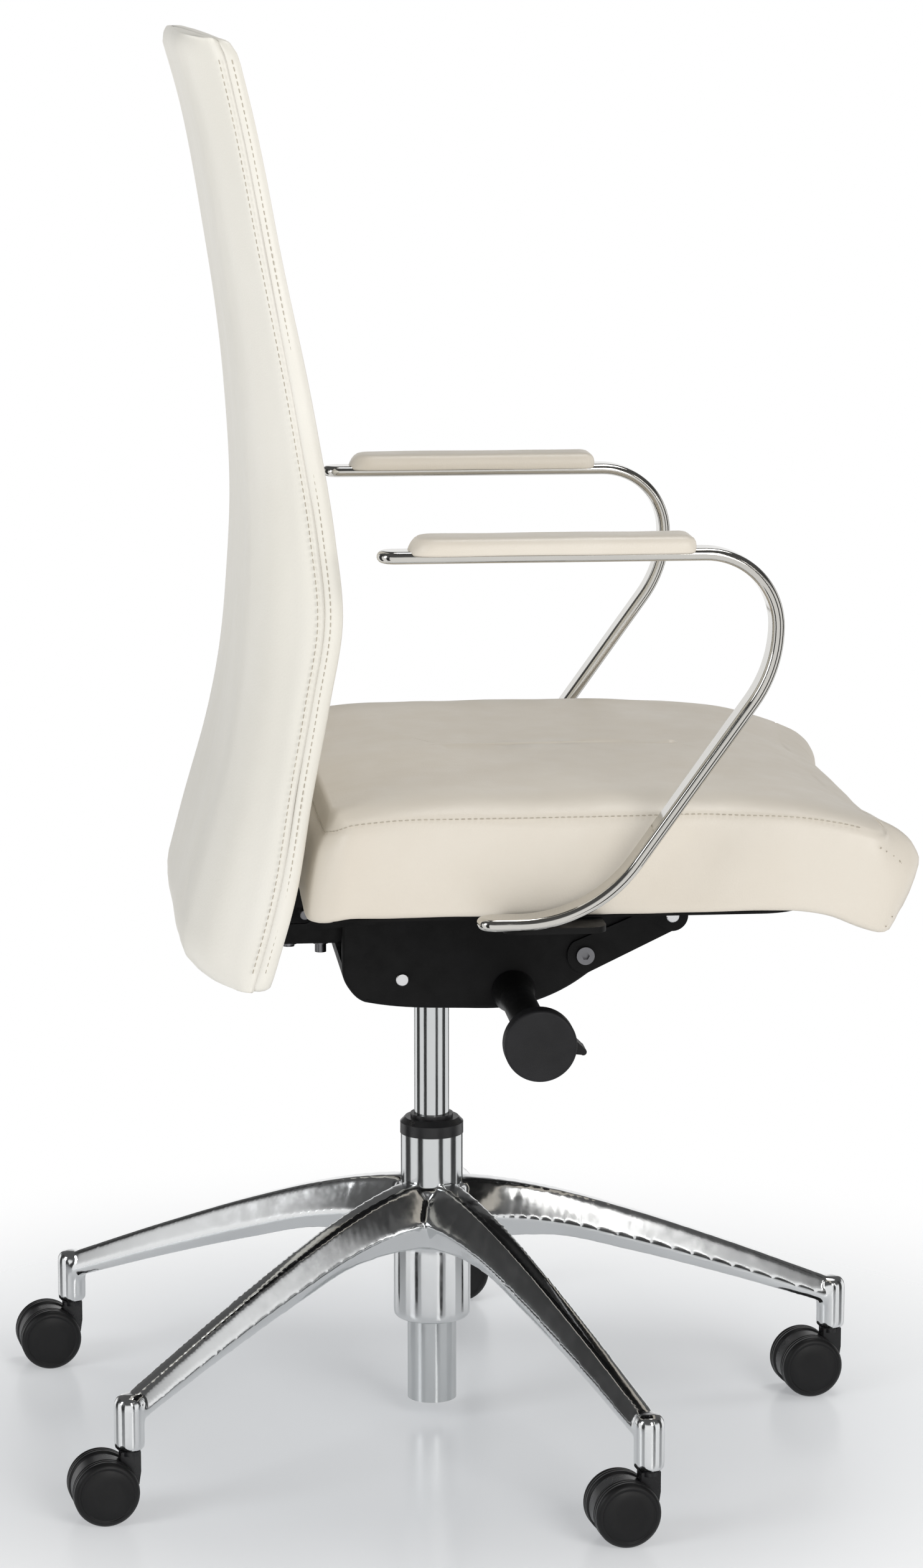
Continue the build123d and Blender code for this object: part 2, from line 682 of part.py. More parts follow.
with BuildPart() as seat_bolts:
    for forward, sideways in SEAT_BOLTS:
        with BuildSketch(Plane.XY.offset(BRACKET_TOP - BRACKET_THICK - 4)):
            with Locations((sideways, -forward), (-sideways, -forward)):
                Circle(6)
        extrude(amount=4)
        with BuildSketch(Plane.XY.offset(BRACKET_TOP - BRACKET_THICK - 0.5)):
            with Locations((sideways, -forward), (-sideways, -forward)):
                Circle(3.2)
        extrude(amount=BRACKET_THICK + 10)
save(seat_bolts.part, "seat_bolts")


ARM_BOLT_FORWARD = (42.0, 88.0)
ARM_BOLT_SIDEWAYS = (150.0, 215.0)
BOLT_POINTS = [
    (side * sideways, -forward) for side in (1, -1) for forward, sideways in SEAT_BOLTS
] + [
    (side * sideways, -forward)
    for side in (1, -1) for sideways in ARM_BOLT_SIDEWAYS for forward in ARM_BOLT_FORWARD
]


def seat_plan(inset, front, rear, front_corner, rear_corner):
    """Plan outline of the seat with its own corner radii at the front and rear."""
    half = SEAT_HALF - inset
    with BuildSketch() as plan:
        with BuildLine():
            FilletPolyline(
                (0, -rear), (half, -rear), (half, -front), (0, -front),
                radius=[rear_corner, front_corner],
            )
            FilletPolyline(
                (0, -front), (-half, -front), (-half, -rear), (0, -rear),
                radius=[front_corner, rear_corner],
            )
        make_face()
    return plan.sketch


def bolt_circles(radius):
    """One circle for every bolt that comes up through the seat's underside."""
    with BuildSketch() as circles:
        with Locations(*BOLT_POINTS):
            Circle(radius)
    return circles.sketch


with BuildPart() as seat_under_cover:
    with BuildSketch(Plane.XY.offset(SEAT_BASE - COVER_THICK)):
        add(seat_plan(6, 262, -112, 40, 24))
        add(bolt_circles(3.3), mode=Mode.SUBTRACT)
    extrude(amount=COVER_THICK)
save(seat_under_cover.part, "seat_under_cover")

with BuildPart() as seat_inner_shell:
    with BuildSketch(Plane.XY.offset(SEAT_BASE)):
        add(seat_plan(26, 285, -98, 40, 24))
        add(bolt_circles(3.3), mode=Mode.SUBTRACT)
    extrude(amount=PAN_THICK)
save(seat_inner_shell.part, "seat_inner_shell")

with BuildPart() as seat_cushion:
    with BuildSketch(side_plane()):
        with BuildLine():
            under = Line((-114, SEAT_BASE), (266, SEAT_BASE))
            lip = Spline((311, 444.5), (325, 448), (340, 470), (347, 494), (339, 509), (314, 525),
                         tangents=((1, 0), (-1, 0.5)))
            Spline(under @ 1, (290, 455), lip @ 0, tangents=((1, 0), (1, 0)))
            crown = Spline(lip @ 1, (200, 544), (60, 547), (-98, 537), tangents=((-1, 0.5), (-1, -0.2)))
            Polyline(crown @ 1, (-107, 520), (-115, 475), under @ 0)
        make_face()
    extrude(amount=SEAT_HALF + 10, both=True)
    with BuildSketch(Plane.XZ):
        with BuildLine():
            shoulder = Spline(
                (-SEAT_HALF - 12, 520), (-SEAT_HALF + 14, 538), (-150, 546.5), (0, 548.5),
                (150, 546.5), (SEAT_HALF - 14, 538), (SEAT_HALF + 12, 520),
            )
            Polyline(shoulder @ 1, (SEAT_HALF + 12, 430), (-SEAT_HALF - 12, 430), shoulder @ 0)
        make_face()
    extrude(amount=400, both=True, mode=Mode.INTERSECT)
    with BuildSketch(Plane.XY.offset(430)):
        add(seat_plan(0, 348, -118, 62, 34))
    extrude(amount=130, mode=Mode.INTERSECT)
    add(seat_inner_shell.part, mode=Mode.SUBTRACT)
    with BuildSketch(Plane.XY.offset(SEAT_BASE - 1)):
        add(bolt_circles(5))
    extrude(amount=PAN_THICK + 9, mode=Mode.SUBTRACT)
save(seat_cushion.part, "seat_cushion")


# ---------------------------------------------------------------- arms
BAR_TOP_RUN = 735.0
UPPER_BEND_AT = 171.0
UPPER_BEND_R = 53.5
KNEE_R = 95.5
KNEE_DEG = 35.6
LOWER_BEND_R = 105.5
LOWER_BEND_END = 37.5
BAR_LOW_RUN = 465.5
TOP_TIP = -52.0
PAD_SCREWS = (-5.0, 125.0)
LOW_TIP = 20.0

with BuildPart() as arm_loop:
    with BuildLine(side_plane(ARM_OUT)) as bar_path:
        top_run = Line((TOP_TIP, BAR_TOP_RUN), (UPPER_BEND_AT, BAR_TOP_RUN))
        drop = BAR_TOP_RUN - UPPER_BEND_R
        upper = CenterArc((UPPER_BEND_AT, drop), UPPER_BEND_R, 90, -90)
        knee = CenterArc((UPPER_BEND_AT + UPPER_BEND_R - KNEE_R, drop), KNEE_R, 0, -KNEE_DEG)
        lower = CenterArc(
            (LOWER_BEND_END, BAR_LOW_RUN + LOWER_BEND_R), LOWER_BEND_R, -KNEE_DEG, KNEE_DEG - 90
        )
        strut = Line(knee @ 1, lower @ 0)
        low_run = Line(lower @ 1, (LOW_TIP, BAR_LOW_RUN))
    with BuildSketch(Plane(origin=(-ARM_OUT, -TOP_TIP, BAR_TOP_RUN), x_dir=(1, 0, 0), z_dir=(0, -1, 0))):
        SlotOverall(BAR_WIDE, BAR_THICK)
    sweep(path=bar_path.line)
    # the bar's rounded tips
    for tip_forward, tip_up in ((TOP_TIP, BAR_TOP_RUN), (LOW_TIP, BAR_LOW_RUN)):
        with BuildSketch(Plane(origin=(-ARM_OUT, -tip_forward, tip_up), x_dir=(1, 0, 0), z_dir=(0, -1, 0))):
            with BuildLine():
                edge_arc = CenterArc((BAR_WIDE / 2 - BAR_THICK / 2, 0), BAR_THICK / 2, -90, 180)
                Polyline(edge_arc @ 1, (0, BAR_THICK / 2), (0, -BAR_THICK / 2), edge_arc @ 0)
            make_face()
        axis = Axis((-ARM_OUT, -tip_forward, tip_up), (0, 0, 1))
        revolve(axis=axis, revolution_arc=180)
    with BuildSketch(Plane.XY.offset(BAR_TOP_RUN - BAR_THICK)):
        with Locations(*[(-ARM_OUT, -f) for f in PAD_SCREWS]):
            Circle(2.05)
    extrude(amount=2 * BAR_THICK, mode=Mode.SUBTRACT)
save_pair(arm_loop.part, "arm_loop")

PAD_BOTTOM = 737.0
PAD_TOP = 749.5
PAD_REAR = -43.0
PAD_FRONT = 163.0
PAD_HALF = 22.0
with BuildPart() as arm_pad:
    with BuildSketch(Plane.XY.offset(PAD_BOTTOM)):
        with Locations((-ARM_OUT, -(PAD_REAR + PAD_FRONT) / 2)):
            RectangleRounded(2 * PAD_HALF, PAD_FRONT - PAD_REAR, 12)
    extrude(amount=PAD_TOP - PAD_BOTTOM, taper=6)
    fillet(arm_pad.edges().group_by(Axis.Z)[-1], radius=3.5)
    # channel for the bar
    with BuildSketch(Plane(origin=(-ARM_OUT, 0, BAR_TOP_RUN), x_dir=(1, 0, 0), z_dir=(0, -1, 0))):
        SlotOverall(BAR_WIDE + 2 * GAP, BAR_THICK + 0.1)
    extrude(amount=300, both=True, mode=Mode.SUBTRACT)
    with BuildSketch(Plane.XY.offset(PAD_BOTTOM - 1)):
        with Locations(*[(-ARM_OUT, -f) for f in PAD_SCREWS]):
            Circle(2.2)
    extrude(amount=9, mode=Mode.SUBTRACT)
save_pair(arm_pad.part, "arm_pad")

with BuildPart() as arm_pad_screws:
    for side in (1, -1):
        points = [(side * ARM_OUT, -f) for f in PAD_SCREWS]
        with BuildSketch(Plane.XY.offset(BAR_TOP_RUN - BAR_THICK / 2 - 2.6)):
            with Locations(*points):
                Circle(4.4)
        extrude(amount=2.6)
        with BuildSketch(Plane.XY.offset(BAR_TOP_RUN - BAR_THICK / 2)):
            with Locations(*points):
                Circle(2)
        extrude(amount=BAR_THICK + 5)
save(arm_pad_screws.part, "arm_pad_screws")

ARM_PLATE_TOP = BRACKET_TOP
ARM_PLATE_THICK = 4.6
with BuildPart() as arm_bracket:
    with BuildSketch(Plane.XY.offset(ARM_PLATE_TOP - ARM_PLATE_THICK)):
        with Locations((-(ARM_OUT + 118) / 2, -65)):
            RectangleRounded(ARM_OUT - 118, 76, 12)
    extrude(amount=ARM_PLATE_THICK)
    with BuildSketch(Plane.XY.offset(ARM_PLATE_TOP - 10)):
        with Locations(*[(-s, -f) for s in ARM_BOLT_SIDEWAYS for f in ARM_BOLT_FORWARD]):
            Circle(3.3)
    extrude(amount=20, mode=Mode.SUBTRACT)
save_pair(arm_bracket.part, "arm_bracket")

with BuildPart() as arm_bolts:
    points = [(side * s, -f) for side in (1, -1) for s in ARM_BOLT_SIDEWAYS for f in ARM_BOLT_FORWARD]
    with BuildSketch(Plane.XY.offset(ARM_PLATE_TOP - ARM_PLATE_THICK - 4)):
        with Locations(*points):
            Circle(6)
    extrude(amount=4)
    with BuildSketch(Plane.XY.offset(ARM_PLATE_TOP - ARM_PLATE_THICK - 0.5)):
        with Locations(*points):
            Circle(3.2)
    extrude(amount=ARM_PLATE_THICK + 10)
save(arm_bolts.part, "arm_bolts")


# ---------------------------------------------------------------- casters
def caster(number, stem_x, stem_y):
    """One twin-wheel caster: hood, steel stem and axle, and two wheels."""
    a = radians(CASTER_TRAIL_DEG)
    trail = (cos(a), sin(a))
    axle_x = stem_x + TRAIL * trail[0]
    axle_y = stem_y + TRAIL * trail[1]
    # x runs from the axle towards the stem, y runs up, and the normal lies along the axle
    face = Plane(origin=(axle_x, axle_y, WHEEL_R), x_dir=(-trail[0], -trail[1], 0),
                 z_dir=(-trail[1], trail[0], 0))
    with BuildPart() as hood:
        with BuildSketch(face):
            with BuildLine():
                rim_start = degrees(acos((TRAIL - NECK_HALF) / HOOD_R))
                rim = CenterArc((0, 0), HOOD_R, rim_start, 205 - rim_start)
                Polyline(
                    rim @ 1, (-8, -13), (12, -13), (TRAIL + 6, 2), (TRAIL + NECK_HALF, 12),
                    (TRAIL + NECK_HALF, NECK_TOP - WHEEL_R), (TRAIL - NECK_HALF, NECK_TOP - WHEEL_R),
                    rim @ 0,
                )
            make_face()
        extrude(amount=HOOD_WIDTH / 2, both=True)
        with BuildSketch(face):
            Circle(AXLE_R)
        extrude(amount=HOOD_WIDTH, both=True, mode=Mode.SUBTRACT)
        with BuildSketch(Plane.XY.offset(NECK_TOP - 3.2)):
            with Locations((stem_x, stem_y)):
                Circle(8.2)
        extrude(amount=3.2)
        with BuildSketch(Plane.XY.offset(36)):
            with Locations((stem_x, stem_y)):
                Circle(STEM_R - 0.5)
        extrude(amount=20, mode=Mode.SUBTRACT)
    save(hood.part, f"caster_{number}_hood")
    with BuildPart() as steel:
        with BuildSketch(Plane.XY.offset(36)):
            with Locations((stem_x, stem_y)):
                Circle(STEM_R - 0.5)
        extrude(amount=NECK_TOP - 36)
        with BuildSketch(Plane.XY.offset(NECK_TOP)):
            with Locations((stem_x, stem_y)):
                Circle(STEM_R)
        extrude(amount=27)
        with BuildSketch(face):
            Circle(AXLE_R)
        extrude(amount=HOOD_WIDTH / 2 + WHEEL_GAP + WHEEL_WIDTH - 3, both=True)
    save(steel.part, f"caster_{number}_stem_and_axle")
    for side, name in ((1, "inner"), (-1, "outer")):
        start = HOOD_WIDTH / 2 + WHEEL_GAP
        with BuildPart() as wheel:
            with BuildSketch(Plane(origin=face.origin, x_dir=side * face.z_dir, z_dir=-side * face.x_dir)):
                with BuildLine():
                    Polyline(
                        (start, AXLE_R + RUNNING), (start, WHEEL_R - 1.5), (start + 1.5, WHEEL_R),
                        (start + WHEEL_WIDTH - 3.5, WHEEL_R), (start + WHEEL_WIDTH - 1.2, WHEEL_R - 1.2),
                        (start + WHEEL_WIDTH, WHEEL_R - 3.2), (start + WHEEL_WIDTH - 0.6, WHEEL_R - 4.4),
                        (start + WHEEL_WIDTH - 0.6, 0), (start + WHEEL_WIDTH - 2.6, 0),
                        (start + WHEEL_WIDTH - 2.6, AXLE_R + RUNNING), close=True,
                    )
                make_face()
            revolve(axis=Axis(face.origin, face.z_dir))
        save(wheel.part, f"caster_{number}_wheel_{name}")


for index, (x, y) in enumerate(stem_points, start=1):
    caster(index, x, y)
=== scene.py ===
"""Looks of the swivel office chair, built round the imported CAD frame.

Metres. +Z is up and the chair faces -Y, so the sitter's right hand is on the -X side. Shapes of the
soft pieces are written in millimetres as (forward, right, up) and turned into the row frame by place().
"""
import json
import math

import bmesh
import bpy
import numpy as np
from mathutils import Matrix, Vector, noise


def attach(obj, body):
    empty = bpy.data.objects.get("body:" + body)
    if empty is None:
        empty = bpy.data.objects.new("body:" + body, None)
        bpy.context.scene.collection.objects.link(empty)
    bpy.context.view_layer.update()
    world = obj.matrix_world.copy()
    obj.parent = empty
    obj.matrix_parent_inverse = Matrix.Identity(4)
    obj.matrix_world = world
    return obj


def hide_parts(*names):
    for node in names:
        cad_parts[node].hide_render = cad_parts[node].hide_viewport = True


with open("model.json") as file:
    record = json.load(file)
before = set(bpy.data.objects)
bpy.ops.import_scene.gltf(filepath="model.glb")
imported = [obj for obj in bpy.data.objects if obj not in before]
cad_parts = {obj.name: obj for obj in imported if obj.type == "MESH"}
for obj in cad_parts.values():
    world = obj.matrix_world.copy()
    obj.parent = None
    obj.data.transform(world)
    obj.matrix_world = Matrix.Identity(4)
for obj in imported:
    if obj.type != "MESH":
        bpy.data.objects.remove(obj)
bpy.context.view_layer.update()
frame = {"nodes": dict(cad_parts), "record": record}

# ---------------------------------------------------------------- stage: camera, floor and light
scene = bpy.context.scene
scene.view_settings.view_transform = "Standard"
scene.view_settings.look = "None"

CAMERA_PLACE = (-3.4055, 0.3159, 1.137)
CAMERA_LOOK = (0.9951, -0.0993)      # level direction it looks in
CAMERA_PITCH_DEG = 10.27             # how far it looks down
LENS_MM = 101.2


def add_camera():
    data = bpy.data.cameras.new("studio_camera")
    data.lens, data.sensor_width = LENS_MM, 36.0
    data.clip_start, data.clip_end = 0.05, 100.0
    camera = bpy.data.objects.new("studio_camera", data)
    scene.collection.objects.link(camera)
    camera.location = CAMERA_PLACE
    pitch = math.radians(CAMERA_PITCH_DEG)
    look = Vector((CAMERA_LOOK[0] * math.cos(pitch), CAMERA_LOOK[1] * math.cos(pitch), -math.sin(pitch)))
    camera.rotation_euler = look.to_track_quat("-Z", "Y").to_euler()
    scene.camera = camera


def add_area_light(name, location, target, size, watts, color):
    data = bpy.data.lights.new(name, "AREA")
    data.shape, data.size, data.size_y = "RECTANGLE", size, size
    data.energy, data.color = watts, color
    light = bpy.data.objects.new(name, data)
    scene.collection.objects.link(light)
    light.location = location
    light.rotation_euler = (Vector(target) - Vector(location)).to_track_quat("-Z", "Y").to_euler()


def add_world():
    """White sweep up to a little above the horizon, and a dim studio ceiling over it."""
    world = bpy.data.worlds.new("studio")
    scene.world = world
    world.use_nodes = True
    tree = world.node_tree
    direction = tree.nodes.new("ShaderNodeTexCoord")
    split = tree.nodes.new("ShaderNodeSeparateXYZ")
    shade = tree.nodes.new("ShaderNodeValToRGB")
    tree.links.new(direction.outputs["Generated"], split.inputs["Vector"])
    tree.links.new(split.outputs["Z"], shade.inputs["Fac"])
    stops = shade.color_ramp.elements
    stops.new(0.5)
    shades = ((0.0, 1.0), (HORIZON_TOP, 1.0), (CEILING_START, CEILING_GREY))
    for stop, (height, grey) in zip(stops, shades):
        stop.position, stop.color = height, (grey, grey, grey, 1)
    tree.links.new(shade.outputs["Color"], tree.nodes["Background"].inputs["Color"])


def add_card(name, around_deg, width, grey):
    """Upright studio card that only reflections see, placed round the chair from the camera's side."""
    a = math.atan2(-CAMERA_LOOK[1], -CAMERA_LOOK[0]) + math.radians(around_deg)
    middle = Vector((math.cos(a), math.sin(a), 0)) * CARD_DISTANCE
    across = Vector((-math.sin(a), math.cos(a), 0)) * width / 2
    mesh = bpy.data.meshes.new(name)
    corners = [middle - across, middle + across]
    mesh.from_pydata([(c.x, c.y, z) for z in (CARD_LOW, CARD_HIGH) for c in corners], [], [(0, 1, 3, 2)])
    card = bpy.data.objects.new(name, mesh)
    scene.collection.objects.link(card)
    material = bpy.data.materials.new(name)
    material.use_nodes = True
    tree = material.node_tree
    glow = tree.nodes.new("ShaderNodeEmission")
    glow.inputs["Color"].default_value = (grey, grey, grey, 1)
    tree.links.new(glow.outputs["Emission"], tree.nodes["Material Output"].inputs["Surface"])
    mesh.materials.append(material)
    for ray in ("camera", "diffuse", "transmission", "volume_scatter", "shadow"):
        setattr(card, "visible_" + ray, False)


# The sky's shade goes by the height of a unit direction.
HORIZON_TOP, CEILING_START = 0.20, 0.42
CEILING_GREY = 0.10
# name, place, target, side of the square, watts and color
LIGHTS = (
    ("key", (-2.9, -1.3, 1.7), (0, 0, 0.6), 1.5, 46, (1.0, 0.985, 0.965)),
    ("top", (0.5, -0.6, 3.0), (0, 0, 0.5), 1.2, 24, (1, 1, 1)),
    ("fill", (-1.5, 2.6, 1.6), (0, 0, 0.6), 1.4, 26, (0.97, 0.985, 1.0)),
)
CARD_DISTANCE, CARD_LOW, CARD_HIGH = 2.6, -1.6, 2.4
# degrees round from the camera's side, width and grey
DARK_CARDS = (
    (-42, 0.95, 0.03), (34, 0.75, 0.04), (-98, 1.3, 0.05),
    (88, 1.2, 0.05), (150, 0.9, 0.12), (-150, 0.7, 0.12),
)
add_camera()
add_world()
for light_facts in LIGHTS:
    add_area_light(*light_facts)
for number, card_facts in enumerate(DARK_CARDS, start=1):
    add_card(f"dark_card_{number}", *card_facts)


# ---------------------------------------------------------------- materials
def node_material(name):
    """Node material with its tree and its Principled shader."""
    material = bpy.data.materials.new(name)
    material.use_nodes = True
    tree = material.node_tree
    return material, tree, tree.nodes["Principled BSDF"]


def link(tree, source, output, target, socket):
    tree.links.new(source.outputs[output], target.inputs[socket])


def texture(tree, kind, scale, stretch=(1, 1, 1), **inputs):
    """Noise or Voronoi texture in object space, its scale in cells per metre."""
    coordinates = tree.nodes.new("ShaderNodeTexCoord")
    mapping = tree.nodes.new("ShaderNodeMapping")
    mapping.inputs["Scale"].default_value = stretch
    link(tree, coordinates, "Object", mapping, "Vector")
    made = tree.nodes.new("ShaderNodeTex" + kind)
    made.inputs["Scale"].default_value = scale
    for key, value in inputs.items():
        made.inputs[key.replace("_", " ")].default_value = value
    link(tree, mapping, "Vector", made, "Vector")
    return made


def ramp(tree, source, output, stops):
    """Color ramp over a texture's value. Each stop is (position, color or grey)."""
    made = tree.nodes.new("ShaderNodeValToRGB")
    points = made.color_ramp.elements
    while len(points) < len(stops):
        points.new(0.5)
    for point, (position, color) in zip(points, stops):
        point.position = position
        point.color = (color, color, color, 1) if isinstance(color, (int, float)) else (*color, 1)
    link(tree, source, output, made, "Fac")
    return made


def bump(tree, shader, layers):
    """Chains bump nodes. Each layer is (node, output, strength, depth in metres)."""
    previous = None
    for source, output, strength, depth in layers:
        made = tree.nodes.new("ShaderNodeBump")
        made.inputs["Strength"].default_value = strength
        made.inputs["Distance"].default_value = depth
        link(tree, source, output, made, "Height")
        if previous:
            link(tree, previous, "Normal", made, "Normal")
        previous = made
    link(tree, previous, "Normal", shader, "Normal")


def leather(name, light, dark, rough=(0.40, 0.52)):
    """Fine-grained upholstery leather: pebbled cells, pores and a faint change of tone."""
    material, tree, shader = node_material(name)
    tone = ramp(tree, texture(tree, "Noise", 7.0, Detail=4.0, Roughness=0.55), "Fac",
                [(0.35, dark), (0.65, light)])
    link(tree, tone, "Color", shader, "Base Color")
    gloss = ramp(tree, texture(tree, "Noise", 45.0, Detail=3.0), "Fac", [(0.3, rough[0]), (0.7, rough[1])])
    link(tree, gloss, "Color", shader, "Roughness")
    shader.inputs["Specular IOR Level"].default_value = 0.42
    shader.inputs["Coat Weight"].default_value = 0.06
    shader.inputs["Coat Roughness"].default_value = 0.35
    bump(tree, shader, [
        (texture(tree, "Noise", 28.0, Detail=3.0), "Fac", 0.25, 0.0016),
        (texture(tree, "Voronoi", 620.0, Randomness=1.0), "Distance", 0.30, 0.00025),
        (texture(tree, "Noise", 2300.0, Detail=2.0), "Fac", 0.12, 0.0001),
    ])
    return material


def metal(name, color, rough, streak=(1, 1, 1), streak_scale=60.0, ripple=0.0):
    """Bare metal with fine polishing marks and slow changes of gloss."""
    material, tree, shader = node_material(name)
    shader.inputs["Metallic"].default_value = 1.0
    tint = ramp(tree, texture(tree, "Noise", 16.0, Detail=3.0), "Fac",
                [(0.3, tuple(0.94 * c for c in color)), (0.7, color)])
    link(tree, tint, "Color", shader, "Base Color")
    marks = texture(tree, "Noise", streak_scale, stretch=streak, Detail=5.0, Roughness=0.65)
    gloss = ramp(tree, marks, "Fac", [(0.3, rough[0]), (0.75, rough[1])])
    link(tree, gloss, "Color", shader, "Roughness")
    layers = [(marks, "Fac", 0.05, 0.0002)]
    if ripple:
        layers.insert(0, (texture(tree, "Noise", 22.0, Detail=1.0), "Fac", ripple, 0.002))
    bump(tree, shader, layers)
    return material


def plastic(name, light, dark, rough=(0.38, 0.55), grain=1400.0, grain_depth=0.00012, shine=0.4):
    """Moulded plastic or paint with a fine spark texture and a little dust in the tone."""
    material, tree, shader = node_material(name)
    tone = ramp(tree, texture(tree, "Noise", 30.0, Detail=4.0), "Fac", [(0.35, dark), (0.7, light)])
    link(tree, tone, "Color", shader, "Base Color")
    gloss = ramp(tree, texture(tree, "Noise", 80.0, Detail=3.0), "Fac", [(0.3, rough[0]), (0.7, rough[1])])
    link(tree, gloss, "Color", shader, "Roughness")
    shader.inputs["Specular IOR Level"].default_value = shine
    bump(tree, shader, [(texture(tree, "Noise", grain, Detail=2.0), "Fac", 0.35, grain_depth)])
    return material


def plywood(name):
    """Bent beech plywood with long grain."""
    material, tree, shader = node_material(name)
    grain = texture(tree, "Noise", 40.0, stretch=(6, 1, 0.25), Detail=6.0, Roughness=0.6)
    tone = ramp(tree, grain, "Fac", [(0.3, (0.42, 0.25, 0.12)), (0.7, (0.62, 0.42, 0.24))])
    link(tree, tone, "Color", shader, "Base Color")
    shader.inputs["Roughness"].default_value = 0.6
    bump(tree, shader, [(grain, "Fac", 0.2, 0.0004)])
    return material


IVORY = (0.69, 0.64, 0.56)
IVORY_DARK = (0.66, 0.605, 0.52)
IVORY_BACK = (0.79, 0.765, 0.70)
IVORY_BACK_DARK = (0.76, 0.735, 0.665)
FINISHES = {
    "polished_aluminium": metal("polished_aluminium", (0.76, 0.77, 0.775), (0.07, 0.17), (1, 1, 1),
                                90.0, 0.10),
    "chrome": metal("chrome", (0.62, 0.635, 0.64), (0.10, 0.18), (1, 1, 0.05), 400.0),
    "bush_plastic": plastic("bush_plastic", (0.016, 0.016, 0.017), (0.008, 0.008, 0.009), (0.25, 0.4)),
    "steel": metal("steel", (0.62, 0.62, 0.63), (0.22, 0.38)),
    "black_metal": plastic("black_metal", (0.003, 0.003, 0.0035), (0.002, 0.002, 0.002), (0.42, 0.58),
                           900.0, 0.0002, shine=0.18),
    "pin_steel": metal("pin_steel", (0.70, 0.70, 0.71), (0.18, 0.30)),
    "dark_bolt": metal("dark_bolt", (0.20, 0.20, 0.21), (0.28, 0.42)),
    "spring_steel": metal("spring_steel", (0.28, 0.28, 0.30), (0.3, 0.45)),
    "knob_plastic": plastic("knob_plastic", (0.012, 0.012, 0.014), (0.008, 0.008, 0.009), (0.5, 0.65),
                            1100.0, 0.0002, shine=0.3),
    "lever_plastic": plastic("lever_plastic", (0.007, 0.007, 0.008), (0.004, 0.004, 0.004), (0.42, 0.56),
                             shine=0.3),
    "plywood": plywood("plywood"),
    "under_cover": plastic("under_cover", (0.008, 0.008, 0.008), (0.004, 0.004, 0.004), (0.8, 0.95),
                           700.0, 0.0003, shine=0.15),
    "seat_leather": leather("seat_leather", IVORY, IVORY_DARK),
    "back_leather": leather("back_leather", IVORY_BACK, IVORY_BACK_DARK),
    "back_front_leather": leather("back_front_leather", IVORY_BACK, IVORY_BACK_DARK),
    "pad_leather": leather("pad_leather", IVORY, IVORY_DARK, (0.36, 0.46)),
    "polished_steel": metal("polished_steel", (0.60, 0.585, 0.55), (0.05, 0.13), (1, 1, 1), 120.0),
    "hood_plastic": plastic("hood_plastic", (0.008, 0.008, 0.009), (0.004, 0.004, 0.005), (0.24, 0.36),
                            shine=0.45),
    "wheel_plastic": plastic("wheel_plastic", (0.006, 0.006, 0.0065), (0.004, 0.004, 0.0045), (0.36, 0.48),
                             shine=0.3),
}
slot_of = {s["node"]: s["material_slot"] for s in frame["record"]["subparts"]}
for node_name, node in frame["nodes"].items():
    node.data.materials.clear()
    node.data.materials.append(FINISHES[slot_of[node_name]])


# ---------------------------------------------------------------- mesh helpers
def place(forward, right, up):
    """Side-view millimetres to the row frame in metres."""
    return (-right / 1000.0, -forward / 1000.0, up / 1000.0)


def new_piece(name, points, faces, material, body, slot):
    """Mesh object from row-frame points. It rides on a body and takes the given material. The slot is not
    used.
    """
    mesh = bpy.data.meshes.new(name)
    mesh.from_pydata([tuple(p) for p in points], [], [tuple(f) for f in faces])
    mesh.validate()
    mesh.update()
    piece = bpy.data.objects.new(name, mesh)
    scene.collection.objects.link(piece)
    mesh.materials.append(material)
    mesh.shade_smooth()
    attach(piece, body)
    return piece


def outward(piece):
    """Makes every face look outward."""
    work = bmesh.new()
    work.from_mesh(piece.data)
    bmesh.ops.recalc_face_normals(work, faces=work.faces)
    work.to_mesh(piece.data)
    work.free()


def smooth_line(places, values):
    """Smooth curve through the given points, with slopes that don't overshoot much."""
    x, y = np.array(places, float), np.array(values, float)
    slope = np.gradient(y, x)
    def at(t):
        t = np.clip(np.asarray(t, float), x[0], x[-1])
        k = np.clip(np.searchsorted(x, t, side="right") - 1, 0, len(x) - 2)
        h = x[k + 1] - x[k]
        s = (t - x[k]) / h
        a, b = 2 * s**3 - 3 * s**2 + 1, s**3 - 2 * s**2 + s
        c, d = -2 * s**3 + 3 * s**2, s**3 - s**2
        return a * y[k] + b * h * slope[k] + c * y[k + 1] + d * h * slope[k + 1]
    return at


def round_off(distance, reach, depth):
    """How far a rounded corner has drawn back, at a distance from the end it rounds."""
    s = np.clip(1 - np.asarray(distance, float) / reach, 0, 1)
    return depth * (1 - np.sqrt(np.maximum(0, 1 - s * s)))


def ease(value):
    value = np.clip(value, 0, 1)
    return value * value * (3 - 2 * value)


def ripple(points, size, depth, seed):
    """Slow uneven offsets for the points of a soft piece, in metres."""
    shift = Vector((seed, seed * 0.7, -seed))
    return np.array([noise.noise(Vector(p) * size + shift) * depth for p in points])


def soften(piece, depth, size, seed, keep=()):
    """Slow hand-made unevenness along the normals. Points in keep stay where they are."""
    normals = np.array([v.normal[:] for v in piece.data.vertices])
    places = np.array([v.co[:] for v in piece.data.vertices])
    move = ripple(places, size, depth, seed)
    move[list(keep)] = 0
    piece.data.vertices.foreach_set("co", (places + normals * move[:, None]).astype(np.float32).ravel())
    piece.data.update()


